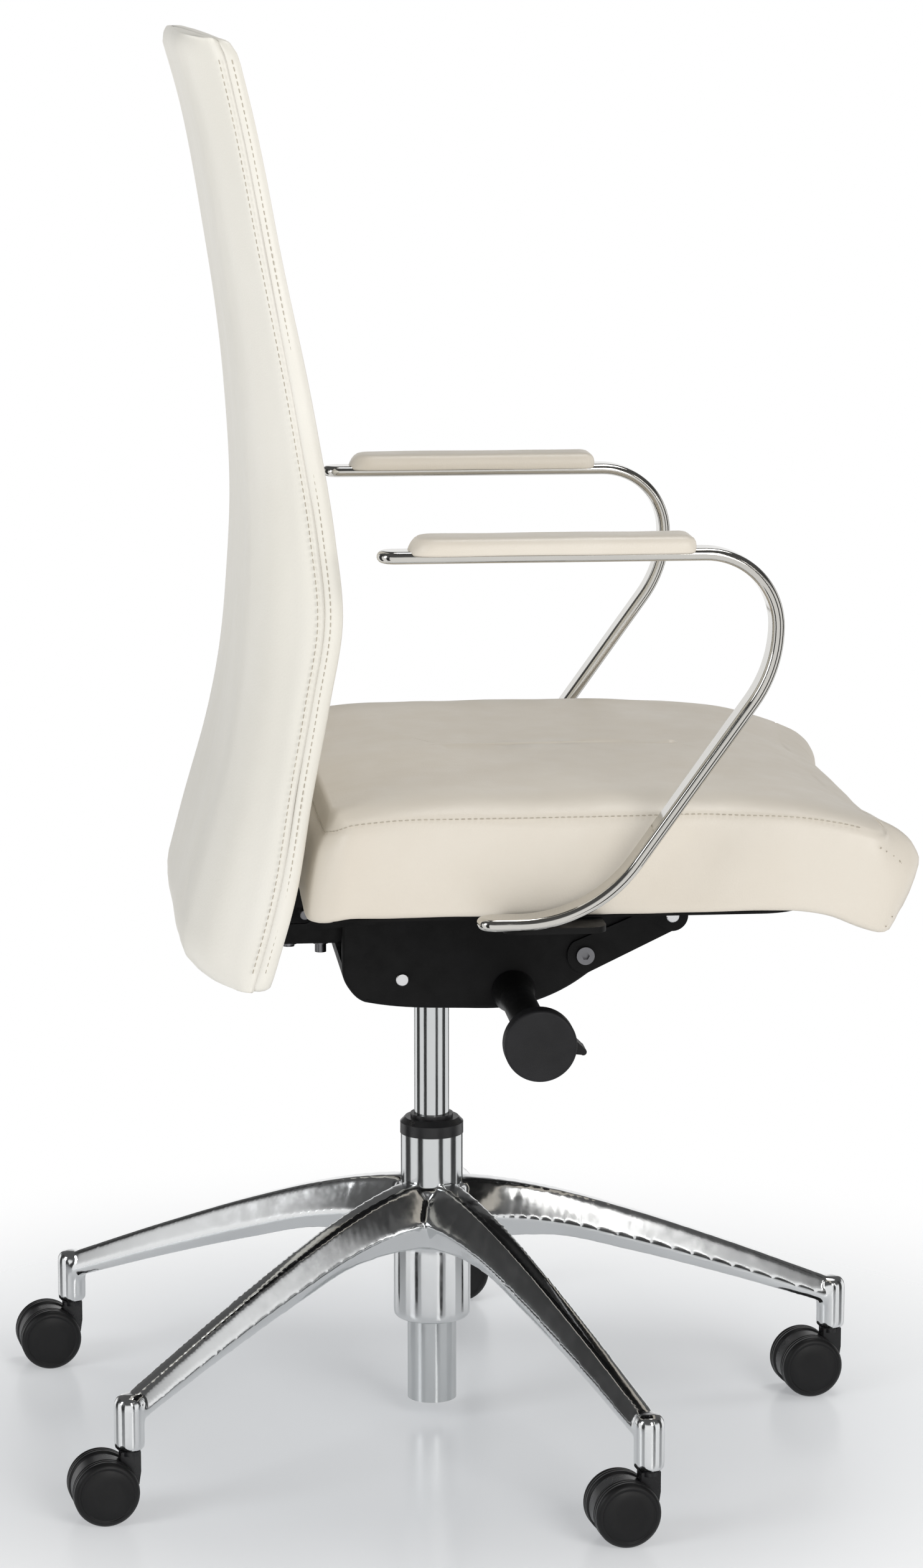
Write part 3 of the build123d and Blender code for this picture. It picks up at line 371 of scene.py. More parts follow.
def skin(rings, ends="flat"):
    """Points and faces of a form through equal closed rings.

    ends: "flat" is one face over each end ring, "strips" is a row of quads across it, and "joined" runs
    the last ring on to the first.
    """
    size, last = len(rings[0]), len(rings) - 1
    points = [point for ring in rings for point in ring]
    faces = []
    for row in range(len(rings) if ends == "joined" else last):
        here, there = row * size, (row + 1) % len(rings) * size
        for i in range(size):
            j = (i + 1) % size
            faces.append((here + i, here + j, there + j, there + i))
    for start in (0, last * size):
        if ends == "flat":
            faces.append(tuple(range(start, start + size)))
        elif ends == "strips":
            for i in range(size // 2 - 1):
                faces.append((start + i, start + i + 1, start + size - 2 - i, start + size - 1 - i))
    return points, faces


def merged(forms):
    """Several (points, faces) forms as one."""
    points, faces = [], []
    for form_points, form_faces in forms:
        start = len(points)
        points += list(form_points)
        faces += [tuple(i + start for i in face) for face in form_faces]
    return points, faces


def lengths_along(path):
    """Distance of each point of a polyline from its start."""
    return np.concatenate([[0], np.cumsum(np.linalg.norm(np.diff(path, axis=0), axis=1))])


def read_off(path, along, places):
    """Points of a polyline at some distances from its start."""
    return np.stack([np.interp(places, along, path[:, i]) for i in range(path.shape[1])], axis=-1)


SHARPEST_CORNER = 0.2


def rounded_outline(front, rear, half, front_radius, rear_radius, arc_points, count, inset=0.0):
    """Even points round a rounded rectangle in plan, and their outward directions."""
    corners = ((front, 1, 1, front_radius), (rear, -1, 1, rear_radius),
               (rear, -1, -1, rear_radius), (front, 1, -1, front_radius))
    path, normals = [], []
    for quarter, (end, ahead, side, radius) in enumerate(corners):
        middle_f, middle_r = end - ahead * radius, side * (half - radius)
        kept = max(radius - inset, SHARPEST_CORNER)
        for degrees in np.linspace(90 * quarter, 90 * quarter + 90, arc_points):
            c, s = math.cos(math.radians(degrees)), math.sin(math.radians(degrees))
            path.append((middle_f + kept * c, middle_r + kept * s))
            normals.append((c, s))
    path, normals = np.array(path + path[:1]), np.array(normals + normals[:1])
    along = lengths_along(path)
    even = np.linspace(0, along[-1], count, endpoint=False)
    facing = read_off(normals, along, even)
    return read_off(path, along, even), facing / np.linalg.norm(facing, axis=1)[:, None]


def circle_ring(x, y, z, radius, sides=48):
    """Level circle of points, from millimetres to metres."""
    turns = [2 * math.pi * k / sides for k in range(sides)]
    return [((x + radius * math.cos(t)) / 1000, (y + radius * math.sin(t)) / 1000, z / 1000) for t in turns]


def turned(name, profile, origin, axis, material, body, slot, sides=72):
    """Surface of revolution from (along, radius) pairs in millimetres, about an axis through an origin."""
    axis = Vector(axis).normalized()
    across = axis.orthogonal().normalized()
    third = axis.cross(across)
    turns = [2 * math.pi * k / sides for k in range(sides)]
    rings = [[Vector(origin) + axis * (along / 1000)
              + (across * math.cos(t) + third * math.sin(t)) * (radius / 1000) for t in turns]
             for along, radius in profile]
    piece = new_piece(name, *skin(rings), material, body, slot)
    outward(piece)
    return piece


STITCH_PROFILE = ((-0.44, 0.62), (-0.30, 1.0), (0.30, 1.0), (0.44, 0.62))


def capsule(radius, length, sides=7):
    """Small stitch lying along x, as points and faces."""
    points, faces = [], []
    for along, wide in STITCH_PROFILE:
        for k in range(sides):
            a = 2 * math.pi * k / sides
            points.append((along * length, wide * radius * math.cos(a), wide * radius * math.sin(a)))
    top = (len(STITCH_PROFILE) - 1) * sides
    for row in range(0, top, sides):
        for k in range(sides):
            n = (k + 1) % sides
            faces.append((row + k, row + n, row + sides + n, row + sides + k))
    first, last = len(points), len(points) + 1
    points += [(-0.5 * length, 0, 0), (0.5 * length, 0, 0)]
    for k in range(sides):
        n = (k + 1) % sides
        faces.append((first, n, k))
        faces.append((last, top + k, top + n))
    return np.array(points), faces


def stitch_row(name, line, normals, material, body, slot, pitch=0.0052, length=0.0036, radius=0.00042):
    """Row of thread stitches along a polyline that lies on a surface."""
    line, normals = np.array(line), np.array(normals)
    along = lengths_along(line)
    unit, unit_faces = capsule(radius, length)
    look_ahead = 0.001
    stitches = []
    for s in np.arange(pitch, along[-1] - pitch, pitch):
        centre = read_off(line, along, s)
        ahead = read_off(line, along, s + look_ahead)
        up = read_off(normals, along, s)
        x = (ahead - centre) / (np.linalg.norm(ahead - centre) + 1e-12)
        y = np.cross(up, x)
        y /= np.linalg.norm(y) + 1e-12
        z = np.cross(x, y)
        stitches.append(([centre + x * p[0] + y * p[1] + z * p[2] for p in unit], unit_faces))
    return new_piece(name, *merged(stitches), material, body, slot)


THREAD = plastic("thread", (0.50, 0.46, 0.38), (0.40, 0.36, 0.29), (0.6, 0.75), 5000.0, 0.0001)

# ---------------------------------------------------------------- backrest
# Height, rear surface in the middle, front edge of the wings, half width.
BACK_SECTIONS = np.array([
    (407.0, -213.0, -142.0, 245.0),
    (480.0, -193.5, -121.5, 242.0),
    (560.0, -171.5, -107.0, 238.0),
    (620.0, -160.5, -95.5, 235.0),
    (680.0, -155.0, -85.5, 232.0),
    (740.0, -152.5, -90.5, 229.0),
    (820.0, -155.5, -103.5, 225.0),
    (950.0, -171.5, -128.5, 218.0),
    (1040.0, -188.0, -146.0, 213.0),
    (1100.0, -205.0, -160.0, 210.0),
])
BACK_LOW, BACK_HIGH = BACK_SECTIONS[0, 0], BACK_SECTIONS[-1, 0]
FLANK_SHAPE = [(0.45, 0.015), (0.72, 0.11), (0.85, 0.32), (0.93, 0.60), (0.985, 0.86)]
DISH = 18.0
CROWN = 7.0                 # rise of the top edge in the middle
ROW_STEP, CAP = 7.0, 4.0    # height between rows, and radius of the rounded ends
PATH_POINTS = 150
SEAM_DEPTH = smooth_line([407, 560, 690, 850, 1100], [12.5, 13.5, 14.5, 13.0, 10.5])
rear_at = smooth_line(BACK_SECTIONS[:, 0], BACK_SECTIONS[:, 1])
edge_at = smooth_line(BACK_SECTIONS[:, 0], BACK_SECTIONS[:, 2])
half_at = smooth_line(BACK_SECTIONS[:, 0], BACK_SECTIONS[:, 3])


def back_measures(z):
    """Rear, seam, front edge and half width at a height, with the rounded ends taken in."""
    rear = rear_at(z) + round_off(z - BACK_LOW, 33, 31) + round_off(BACK_HIGH - z, 13, 11)
    edge = edge_at(z) - round_off(BACK_HIGH - z, 17, 11) - round_off(z - BACK_LOW, 7, 4)
    seam = edge_at(z) - SEAM_DEPTH(z) - round_off(BACK_HIGH - z, 17, 6)
    half = half_at(z) - round_off(BACK_HIGH - z, 16, 8) - round_off(z - BACK_LOW, 24, 7)
    return rear, seam, edge, half


def spline_2d(knots, count):
    """Evenly spaced points on a smooth curve through 2-D knots."""
    knots = np.array(knots, float)
    chord = lengths_along(knots)
    fine = np.linspace(0, chord[-1], 900)
    dense = np.stack([smooth_line(chord, knots[:, i])(fine) for i in range(2)], axis=1)
    along = lengths_along(dense)
    return read_off(dense, along, np.linspace(0, along[-1], count))


def inward(path, amount):
    """Moves an open 2-D path to its right-hand side by an amount for each point."""
    tangent = np.gradient(path, axis=0)
    tangent /= np.linalg.norm(tangent, axis=1)[:, None] + 1e-9
    normal = np.stack([tangent[:, 1], -tangent[:, 0]], axis=1)
    return path + normal * np.asarray(amount)[:, None]


def seam_sink(path, depth, width):
    """Sink of a panel towards the seams at both ends of its path."""
    along = lengths_along(path)
    near = np.minimum(along, along[-1] - along)
    return depth * np.exp(-near / width)


def back_height(z, x, half):
    """Height after the crown of the top edge is added."""
    return z + CROWN * (1 - (x / half) ** 2) * ease((z - 930) / 170)


def end_rows(low, high, step, cap):
    """Heights and cap insets of the rows from one rounded end to the other."""
    bottom = [(low + cap * (1 - math.cos(math.radians(a))), cap * (1 - math.sin(math.radians(a))))
              for a in np.linspace(0, 90, 6)]
    top = [(high - cap * (1 - math.cos(math.radians(a))), cap * (1 - math.sin(math.radians(a))))
           for a in np.linspace(90, 0, 6)]
    middle = [(z, 0.0) for z in np.linspace(low + cap, high - cap, int((high - low) / step))[1:-1]]
    return bottom + middle + top


def strip_body(name, rows, outer_of, inner_of, material, body, slot, unevenness, seed):
    """Closed form between an outer and an inner path at each height, capped at both ends."""
    rings = []
    for z, inset in rows:
        outer = outer_of(z)
        inner = inner_of(z, len(outer))
        if inset:
            outer = inward(outer, np.full(len(outer), inset))
        half = np.abs(outer[:, 0]).max()
        rings.append([place(y, x, back_height(z, x, half)) for path in (outer, inner[::-1]) for x, y in path])
    piece = new_piece(name, *skin(rings, "strips"), material, body, slot)
    outward(piece)
    soften(piece, unevenness, 11.0, seed)
    return piece


def rear_outer(z):
    rear, seam, _, half = back_measures(z)
    depth = seam - rear
    flank = [(half * across, rear + depth * deep) for across, deep in FLANK_SHAPE]
    knots = [(-half, seam)] + [(-x, y) for x, y in reversed(flank)] + [(0, rear)] + flank + [(half, seam)]
    path = spline_2d(knots, PATH_POINTS)
    return inward(path, -seam_sink(path, 1.5, 3.0))


def rear_inner(z, count):
    rear, seam, _, half = back_measures(z)
    x = np.linspace(-half + 3.5, half - 3.5, count)
    return np.stack([x, seam + 0.3 - (DISH + 4) * (1 - (x / half) ** 2)], axis=1)


def front_outer(z):
    _, seam, edge, half = back_measures(z)
    corner = min(6.5, (edge - seam) * 0.45)
    side = [(half, seam + 0.4), (half + 0.4, seam + 0.5 * (edge - seam - corner)), (half, edge - corner)]
    bend = [(half - corner * (1 - math.cos(a)), edge - corner * (1 - math.sin(a)))
            for a in (math.radians(30), math.radians(60))]
    face = [(half * t, edge - DISH * (1 - t * t)) for t in (0.93, 0.8, 0.6, 0.35)]
    right = side + bend + face
    knots = [(-x, y) for x, y in right] + [(0, edge - DISH)] + right[::-1]
    path = spline_2d(knots, PATH_POINTS)
    return inward(path, seam_sink(path, 1.5, 3.0))


def front_inner(z, count):
    _, seam, _, half = back_measures(z)
    x = np.linspace(-half + 3.5, half - 3.5, count)
    return np.stack([x, seam + 0.6 - (DISH + 4) * (1 - (x / half) ** 2)], axis=1)


back_rows = end_rows(BACK_LOW, BACK_HIGH, ROW_STEP, CAP)
back_shell = strip_body("back_shell_leather", back_rows, rear_outer, rear_inner,
                        FINISHES["back_leather"], "back", "back_leather", 0.0007, 3.0)
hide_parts("back_rear_cover")
back_pad = strip_body("back_front_pad", back_rows, front_outer, front_inner,
                      FINISHES["back_front_leather"], "back", "back_front_leather", 0.0009, 8.0)
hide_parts("back_front_cushion")

STITCH_PROUD = 0.1
for side, word in ((1, "right"), (-1, "left")):
    for gap, label in ((-4.4, "outer"), (5.0, "inner")):
        line = []
        for z in np.linspace(BACK_LOW + 12, BACK_HIGH - 8, 160):
            _, seam, _, half = back_measures(z)
            line.append(place(seam + gap, side * (half - 0.25 + STITCH_PROUD), z))
        stitch_row(f"back_stitch_{label}_{word}", line, [(-side, 0, 0)] * len(line), THREAD,
                   "back", "back_leather")


# ---------------------------------------------------------------- seat cushion
SEAT_HALF = 256.0
SEAT_REAR, SEAT_NOSE = -114.5, 347.0
under_at = smooth_line([-120, -60, 60, 180, 225, 250, 272, 296, 311, 350],
                       [463.0, 463.0, 463.0, 463.0, 463.0, 462.5, 458.5, 449, 444.5, 444.5])
seam_at = smooth_line([-120, -106, -90, -60, 0, 100, 200, 262, 290, 312, 350],
                      [514, 519, 525.5, 529, 529.5, 529.5, 529.5, 526, 521, 515, 505])
crown_at = smooth_line([-120, -98, 60, 200, 250, 290, 314, 350],
                       [530, 537, 547.5, 545, 541, 532.5, 524, 505])
# Outline curves from the bottom edge to the top seam: how far out from the plan outline, and either
# part of the height (sides and rear) or the height itself (nose).
PANEL_STEPS = [0.0, 0.10, 0.22, 0.38, 0.56, 0.78, 1.0]
SIDE_CURVE = [(-6.5, 0.0), (-1.4, 0.03), (0.3, 0.16), (1.0, 0.38), (0.6, 0.62), (-1.0, 0.85), (-3.2, 1.0)]
NOSE_CURVE = [(-30, 444.5), (-20, 446.5), (-10, 461), (0, 490), (-3, 504), (-14, 516), (-31, 524.5)]
REAR_CURVE = [(-7, 0.0), (-1.5, 0.02), (0, 0.12), (-1.0, 0.4), (-4, 0.65), (-8, 0.88), (-13, 1.0)]
NOSE_RISE = 37.0            # slope of the top panel just behind the nose
NOSE_RECESS = 16.0          # how far the middle of the front edge is drawn back
ARM_DENT = (176.0, 2.6)     # where the arm loop touches the side panel, and how far it presses in
SEAT_CORNERS = (40.0, 34.0)  # front and rear corner radii in plan
SEAT_COUNT = 320
seat_places, seat_facing = rounded_outline(SEAT_NOSE, SEAT_REAR, SEAT_HALF, *SEAT_CORNERS, 19, SEAT_COUNT)
toward_nose = ease(np.clip(seat_facing[:, 0], 0, 1) * 1.05)
toward_rear = ease(np.clip(-seat_facing[:, 0], 0, 1) * 1.05)


def recess_at(f, r):
    """Draws the middle of the front edge back."""
    return NOSE_RECESS * (1 - ease((np.abs(r) - 110) / 140)) * ease((f - 215) / 110)


def seat_ring(step):
    """Ring of the side panel, from the bottom edge (0) to the top seam (1)."""
    def along_curve(curve, column):
        return float(smooth_line(PANEL_STEPS, [c[column] for c in curve])(step))
    curves = (SIDE_CURVE, NOSE_CURVE, REAR_CURVE)
    side, nose, rear = [(along_curve(curve, 0), along_curve(curve, 1)) for curve in curves]
    ring = []
    for k in range(SEAT_COUNT):
        n, b = toward_nose[k], toward_rear[k]
        out = (1 - n - b) * side[0] + n * nose[0] + b * rear[0]
        f, r = seat_places[k] + seat_facing[k] * out
        dent = ARM_DENT[1] * math.exp(-((f - ARM_DENT[0]) / 26) ** 2)
        dent *= ease(min(step / 0.3, (1.15 - step) / 0.5))
        r -= math.copysign(dent, r) * abs(seat_facing[k][1])
        low, high = float(under_at(f)), float(seam_at(f))
        rise = ((1 - n - b) * side[1] + b * rear[1]) / max(1e-6, 1 - n)
        up = (1 - n) * (low + (high - low) * rise) + n * nose[1]
        up -= 5.0 * b * (1 - rise) * float(ease((abs(r) - 150) / 60))
        ring.append((f - float(recess_at(f, r)), r, up))
    return np.array(ring)


def seat_top(f, r):
    """Height of the seat's upper surface, with a steep shoulder and a nearly flat middle."""
    body = crown_at(f + recess_at(f, r))
    return body + 1.0 - round_off(SEAT_HALF - 3.5 - np.abs(r), 44, body - seam_at(f))


def seat_surface(level, share):
    """Ring drawn in from the outline towards the seat's middle line."""
    edge = seat_ring(1.0 if level == "top" else 0.0)
    middle_f = np.clip(edge[:, 0], SEAT_REAR + 120, SEAT_NOSE - 150)
    f = edge[:, 0] + (middle_f - edge[:, 0]) * share
    r = edge[:, 1] * (1 - share)
    if level == "top":
        lift = ease(share / (0.012 + 0.058 * np.maximum(toward_nose, toward_rear)))
        proud = 2.0 * ease(share / 0.012) * (1 - ease(toward_nose / 0.5))
        z = seat_top(f, r) * lift + (edge[:, 2] + proud + NOSE_RISE * toward_nose * share) * (1 - lift)
    else:
        z = edge[:, 2] * (1 - ease(share / 0.1)) + under_at(f) * ease(share / 0.1)
    return np.stack([f, r, z], axis=1)


rings = []
for share in (0.98, 0.8, 0.6, 0.4, 0.25, 0.14, 0.07, 0.03):
    rings.append(seat_surface("under", share))
for step in np.concatenate([[0, 0.05, 0.1], np.linspace(0.16, 0.9, 14), [0.95, 1.0]]):
    rings.append(seat_ring(step))
seam_ring = len(rings) - 1
for share in (0.006, 0.014, 0.025, 0.038, 0.053, 0.07, 0.09, 0.115, 0.145, 0.18, 0.22, 0.265, 0.315, 0.37,
              0.43, 0.495, 0.565, 0.64, 0.72, 0.81, 0.9, 0.985):
    rings.append(seat_surface("top", share))

seat_rings = [[place(*p) for p in ring] for ring in rings]
seat_pad = new_piece("seat_pad", *skin(seat_rings, "strips"), FINISHES["seat_leather"],
                     "seat", "seat_leather")
outward(seat_pad)
# Broad shallow unevenness on the top panel, then a finer one everywhere except on the seam itself.
soften(seat_pad, 0.0011, 13.0, 5.0, keep=range((seam_ring + 1) * SEAT_COUNT))
soften(seat_pad, 0.0006, 30.0, 2.0, keep=range(seam_ring * SEAT_COUNT, (seam_ring + 1) * SEAT_COUNT))
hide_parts("seat_cushion")


def ring_point(ring, side, forward):
    """Point of a side-panel ring at a forward place, on the right (1) or left (-1) of the nose."""
    near = ring[(ring[:, 1] * side > 120) & (ring[:, 0] > 150)]
    near = near[np.argsort(near[:, 0])]
    right, up = [np.interp(forward, near[:, 0], near[:, i]) for i in (1, 2)]
    return np.array([forward, right, up])


# The seam runs along the top edge of the sides and rear, then down inside the nose's profile to the lip.
SEAM_INSET = 17.0
SEAT_PITCH, SEAT_STITCH = 0.0046, 0.003      # spacing and length of the stitches, in metres
seam_turn = SEAT_NOSE + NOSE_CURVE[-1][0] - SEAM_INSET
stitch_ring = seat_surface("top", 0.010)
kept = [k for k in range(SEAT_COUNT) if stitch_ring[k][0] < seam_turn]
# The row starts just after the gap at the nose.
turn = next((i + 1 for i in range(len(kept) - 1) if kept[i + 1] - kept[i] > 1), 0)
stitch_line = [place(*(stitch_ring[k] + np.array([0, 0, 0.5]))) for k in kept[turn:] + kept[:turn]]
stitch_row("seat_stitch", stitch_line, [(0, 0, 1)] * len(stitch_line), THREAD, "seat", "seat_leather",
           pitch=SEAT_PITCH, length=SEAT_STITCH)
nose_out = smooth_line(PANEL_STEPS, [c[0] for c in NOSE_CURVE])
for side, word in ((1, "right"), (-1, "left")):
    down = [ring_point(seat_ring(step), side, SEAT_NOSE + float(nose_out(step)) - SEAM_INSET)
            for step in np.linspace(0.99, 0.06, 30)]
    stitch_row(f"seat_stitch_{word}", [place(f + 0.2, r + side * 0.5, z) for f, r, z in down],
               [(-side, 0, 0)] * len(down), THREAD, "seat", "seat_leather",
               pitch=SEAT_PITCH, length=SEAT_STITCH)


# ---------------------------------------------------------------- arm pads
PAD_BOTTOM = 736.9
PAD_REAR, PAD_FRONT, PAD_HALF = -44.0, 163.5, 22.5
ARM_OUT = 285.0
# Pad side wall and edge: how far in from the plan outline, and height above the pad's underside.
PAD_WALL = [(3.0, 0.0), (0.9, 0.5), (0.1, 2.0), (0.0, 5.0), (0.5, 8.0), (1.8, 10.4), (4.2, 11.9), (7.5, 12.5)]
PAD_CROWN = [(11.0, 12.8), (15.0, 13.0)]
PAD_CORNERS = (9.0, 19.0)   # front and rear corner radii in plan
WIDEST_INSET = 8.8          # further in than this, the outline is squeezed instead


def pad_ring(inset):
    """Plan outline of an arm pad drawn in by an inset."""
    ring, _ = rounded_outline(PAD_FRONT, PAD_REAR, PAD_HALF, *PAD_CORNERS, 12, 120, min(inset, WIDEST_INSET))
    if inset > WIDEST_INSET:
        ring[:, 1] *= (PAD_HALF - inset) / (PAD_HALF - WIDEST_INSET)
        ring[:, 0] = np.clip(ring[:, 0], PAD_REAR + inset, PAD_FRONT - inset)
    return ring


def make_arm_pad(side, word):
    rings = []
    for inset, up in [(8.0, 0.0)] + PAD_WALL + PAD_CROWN:
        ring = pad_ring(inset)
        lean = 5.0 * up / 12.5 * ease((PAD_REAR + 20 - ring[:, 0]) / 22)
        rings.append([place(f + shift, side * ARM_OUT + r, PAD_BOTTOM + up)
                      for (f, r), shift in zip(ring, lean)])
    pad = new_piece(f"arm_pad_leather_{word}", *skin(rings, "strips"), FINISHES["pad_leather"],
                    "seat", "pad_leather")
    outward(pad)
    soften(pad, 0.0004, 25.0, 4.0 + side)
    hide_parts(f"arm_pad_{word}")


make_arm_pad(1, "right")
make_arm_pad(-1, "left")


# ---------------------------------------------------------------- arm pad screws
BAR_UNDERSIDE = 730.5
SCREW_RADIUS = 3.2
SCREWS = ((-5.0, 1.0), (125.0, 0.3))     # how far forward, and how far the head stands down


def screw_head(side, forward, proud):
    profile = ((-1.0, SCREW_RADIUS), (0.0, SCREW_RADIUS), (0.6 * proud, 2.7), (proud, 1.2))
    turns = [2 * math.pi * k / 20 for k in range(20)]
    return skin([[place(forward + radius * math.cos(t), side * ARM_OUT + radius * math.sin(t),
                        BAR_UNDERSIDE - drop) for t in turns] for drop, radius in profile])


heads = [screw_head(side, forward, proud) for side in (1, -1) for forward, proud in SCREWS]
pad_screws = new_piece("arm_pad_screw_heads", *merged(heads), FINISHES["dark_bolt"], "seat", "dark_bolt")
outward(pad_screws)
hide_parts("arm_pad_screws")


# ---------------------------------------------------------------- five-star base casting
STEM_CIRCLE_R, FIRST_LEG_DEG, LEG_COUNT = 333.0, -84.4, 5
LEG_START, LEG_END = 24.0, 326.0
CAST_VOXEL, CAST_RELAX = 0.0020, 7
# distance, top, crease and bottom heights, half widths of the top band, crease and bottom
LEG_ROWS = np.array([
    (0.0, 198.0, 172.0, 148.0, 8.0, 36.0, 30.0),
    (30.0, 197.0, 170.0, 148.0, 8.0, 28.0, 21.0),
    (60.0, 192.5, 166.5, 148.5, 7.8, 21.5, 14.5),
    (100.0, 183.0, 158.5, 146.0, 7.3, 17.3, 11.0),
    (160.0, 163.5, 141.0, 130.0, 6.6, 14.5, 9.2),
    (240.0, 133.0, 114.0, 105.0, 5.9, 12.4, 8.0),
    (333.0, 94.5, 80.0, 73.0, 5.2, 11.2, 7.6),
])
leg_lines = [smooth_line(LEG_ROWS[:, 0], LEG_ROWS[:, k]) for k in range(1, 7)]
# Height and radius: the boss at a leg's end, and the hub's wall, which goes up outside and down inside.
BOSS_FOOT = [(53.0, 9.6), (54.5, 11.2), (56.0, 11.6)]
BOSS_DOME = [(88.0 + 8.0 * math.sin(t), 11.6 - 7.0 * (1 - math.cos(t)))
             for t in np.linspace(0, math.pi / 2, 8)]
HUB_WALL = [(83.0, 28.5), (85.5, 31.0), (150.0, 31.0), (192.0, 28.6), (195.0, 27.0),
            (195.0, 19.5), (83.0, 19.5)]


def leg_angle(index):
    return math.radians(FIRST_LEG_DEG + 360 / LEG_COUNT * index)


def stem_place(index):
    """Plan place of a caster's stem in millimetres."""
    return STEM_CIRCLE_R * math.cos(leg_angle(index)), STEM_CIRCLE_R * math.sin(leg_angle(index))


def cast_leg(index):
    """Tapered leg with a crease along each flank."""
    c, s = math.cos(leg_angle(index)), math.sin(leg_angle(index))
    rings = []
    for d in np.concatenate([np.linspace(LEG_START, 60, 8), np.linspace(70, LEG_END, 40)]):
        top, crease, bottom, top_half, crease_half, bottom_half = [float(line(d)) for line in leg_lines]
        crease_half = min(crease_half, 0.62 * d + 12)
        bottom_half = min(bottom_half, 0.62 * d + 9)
        outline = [(-top_half, top), (top_half, top), (crease_half, crease),
                   (bottom_half, bottom), (-bottom_half, bottom), (-crease_half, crease)]
        rings.append([((d * c - w * s) / 1000, (d * s + w * c) / 1000, z / 1000) for w, z in outline])
    return skin(rings)


def cast_boss(index):
    """Socket at a leg's end that holds the caster's stem."""
    return skin([circle_ring(*stem_place(index), z, radius) for z, radius in BOSS_FOOT + BOSS_DOME])


casting = [make(index) for index in range(LEG_COUNT) for make in (cast_leg, cast_boss)]
casting.append(skin([circle_ring(0, 0, z, radius, 96) for z, radius in HUB_WALL], "joined"))
star = new_piece("star_base_cast", *merged(casting), FINISHES["polished_aluminium"],
                 "base", "polished_aluminium")
# The overlapping forms become one skin, whose inner corners are rounded as in a casting.
remesh = star.modifiers.new("cast", "REMESH")
remesh.mode, remesh.voxel_size, remesh.use_smooth_shade = "VOXEL", CAST_VOXEL, True
relax = star.modifiers.new("relax", "SMOOTH")
relax.factor, relax.iterations = 0.5, CAST_RELAX
bpy.context.view_layer.update()
cast_mesh = bpy.data.meshes.new_from_object(star.evaluated_get(bpy.context.evaluated_depsgraph_get()))
star.modifiers.clear()
star.data = cast_mesh
star.data.shade_smooth()
if not star.data.materials:
    star.data.materials.append(FINISHES["polished_aluminium"])
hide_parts("five_star_base")


# ---------------------------------------------------------------- caster wheels
WHEEL_R, HOOD_WIDE, WHEEL_GAP = 25.0, 12.6, 0.7
TRAIL, CASTER_TRAIL_DEG = 20.5, 98.0
wheel_start = HOOD_WIDE / 2 + WHEEL_GAP
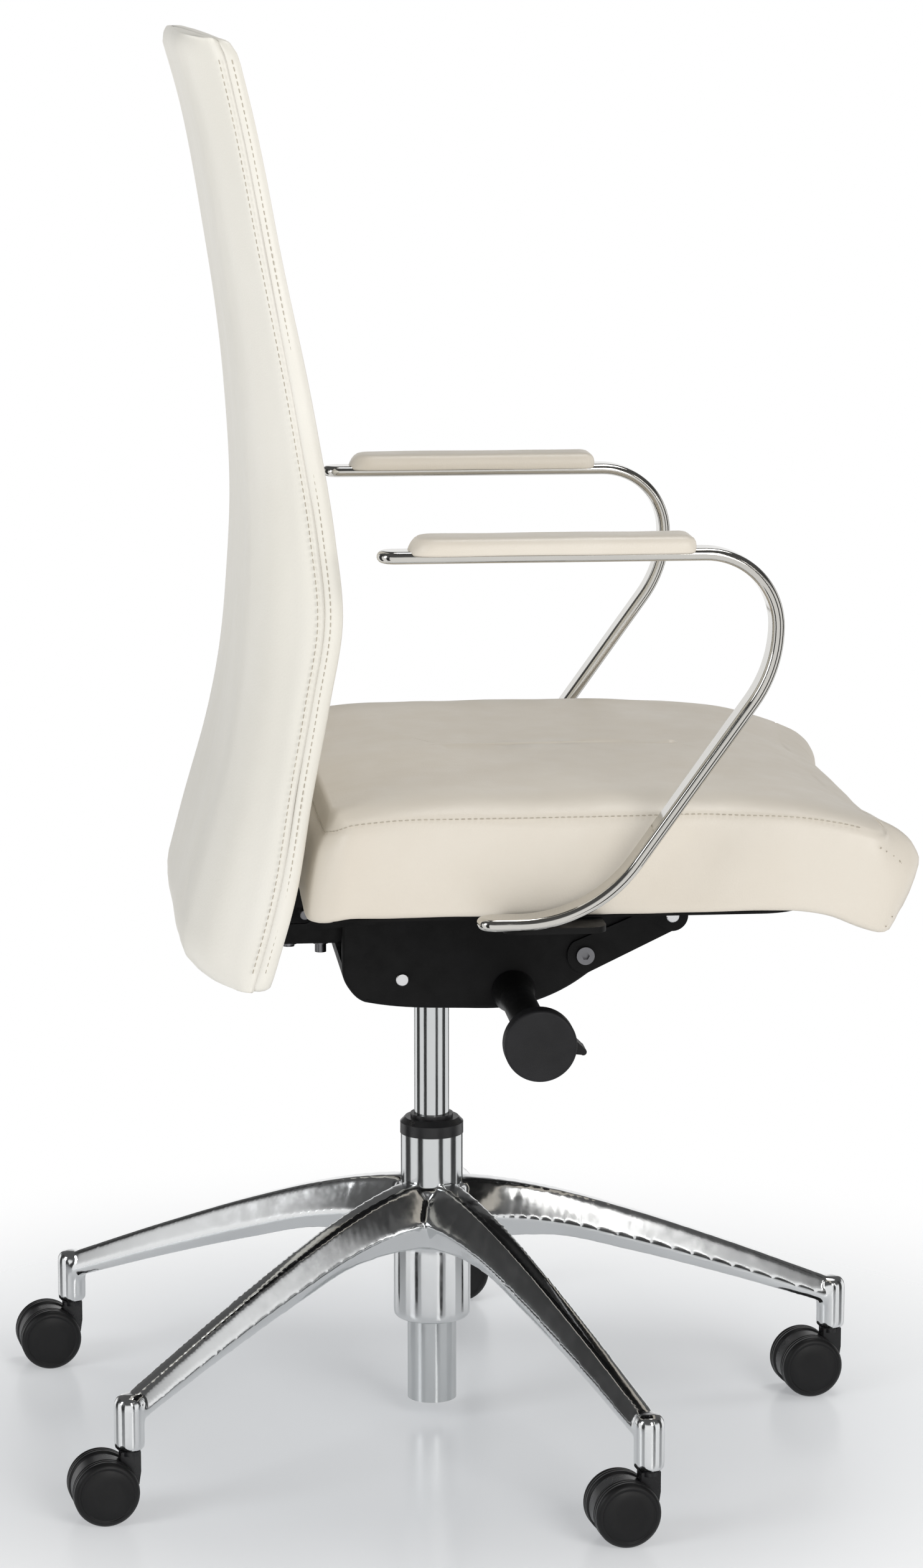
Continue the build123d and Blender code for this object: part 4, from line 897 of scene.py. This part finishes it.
# Distance out from the inner face, and radius. The tread has two thin grooves and the face a rim ring.
WHEEL_PROFILE = [
    (0.0, 3.4), (0.0, 22.6), (0.6, 23.8), (1.8, 24.7), (2.8, 25.0),
    (4.6, 25.0), (4.9, 24.5), (5.3, 24.5), (5.6, 25.0), (8.0, 25.0), (8.3, 24.5), (8.7, 24.5), (9.0, 25.0),
    (11.2, 25.0), (12.2, 24.7), (13.2, 24.0), (14.2, 22.8), (14.8, 21.6), (14.9, 20.8), (14.4, 20.4),
    (14.1, 20.0), (14.1, 19.2), (14.4, 18.8), (14.7, 10.0), (14.8, 0.4),
]
trail = Vector((math.cos(math.radians(CASTER_TRAIL_DEG)), math.sin(math.radians(CASTER_TRAIL_DEG)), 0))
axle_way = Vector((-trail.y, trail.x, 0))
for number in range(1, LEG_COUNT + 1):
    stem = Vector((*stem_place(number - 1), WHEEL_R)) / 1000
    axle = stem + trail * TRAIL / 1000
    for side, word in ((1, "inner"), (-1, "outer")):
        wheel = turned(f"caster_{number}_tyre_{word}", [(wheel_start + w, r) for w, r in WHEEL_PROFILE],
                       axle, axle_way * side, FINISHES["wheel_plastic"], f"caster_{number}_{word}_wheel",
                       "wheel_plastic")
        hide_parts(f"caster_{number}_wheel_{word}")


# ---------------------------------------------------------------- floor
FLOOR_RADIUS, FLOOR_SIDES = 6.0, 96
FLOOR_GLOW = 0.22
FADE_START, FADE_END = 0.20, 0.80       # distances from the swivel axis, metres


def add_floor():
    """Pale glossy studio floor that fades out into the white surroundings."""
    mesh = bpy.data.meshes.new("floor")
    ring = circle_ring(0, 0, 0, FLOOR_RADIUS * 1000, FLOOR_SIDES)
    mesh.from_pydata(ring, [], [tuple(range(FLOOR_SIDES))])
    floor = bpy.data.objects.new("floor", mesh)
    scene.collection.objects.link(floor)
    material, tree, shader = node_material("floor")
    shader.inputs["Base Color"].default_value = (0.80, 0.815, 0.83, 1)
    shader.inputs["Roughness"].default_value = 0.22
    shader.inputs["Specular IOR Level"].default_value = 0.35
    shader.inputs["Emission Color"].default_value = (0.93, 0.96, 1.0, 1)
    shader.inputs["Emission Strength"].default_value = FLOOR_GLOW
    coordinates = tree.nodes.new("ShaderNodeTexCoord")
    length = tree.nodes.new("ShaderNodeVectorMath")
    length.operation = "LENGTH"
    link(tree, coordinates, "Object", length, 0)
    fade = tree.nodes.new("ShaderNodeMapRange")
    fade.interpolation_type = "SMOOTHSTEP"
    limits = (("From Min", FADE_START), ("From Max", FADE_END), ("To Min", 0.0), ("To Max", 1.0))
    for socket, value in limits:
        fade.inputs[socket].default_value = value
    tree.links.new(length.outputs["Value"], fade.inputs["Value"])
    clear = tree.nodes.new("ShaderNodeBsdfTransparent")
    mix = tree.nodes.new("ShaderNodeMixShader")
    link(tree, fade, "Result", mix, 0)
    tree.links.new(shader.outputs["BSDF"], mix.inputs[1])
    tree.links.new(clear.outputs["BSDF"], mix.inputs[2])
    tree.links.new(mix.outputs["Shader"], tree.nodes["Material Output"].inputs["Surface"])
    mesh.materials.append(material)


add_floor()
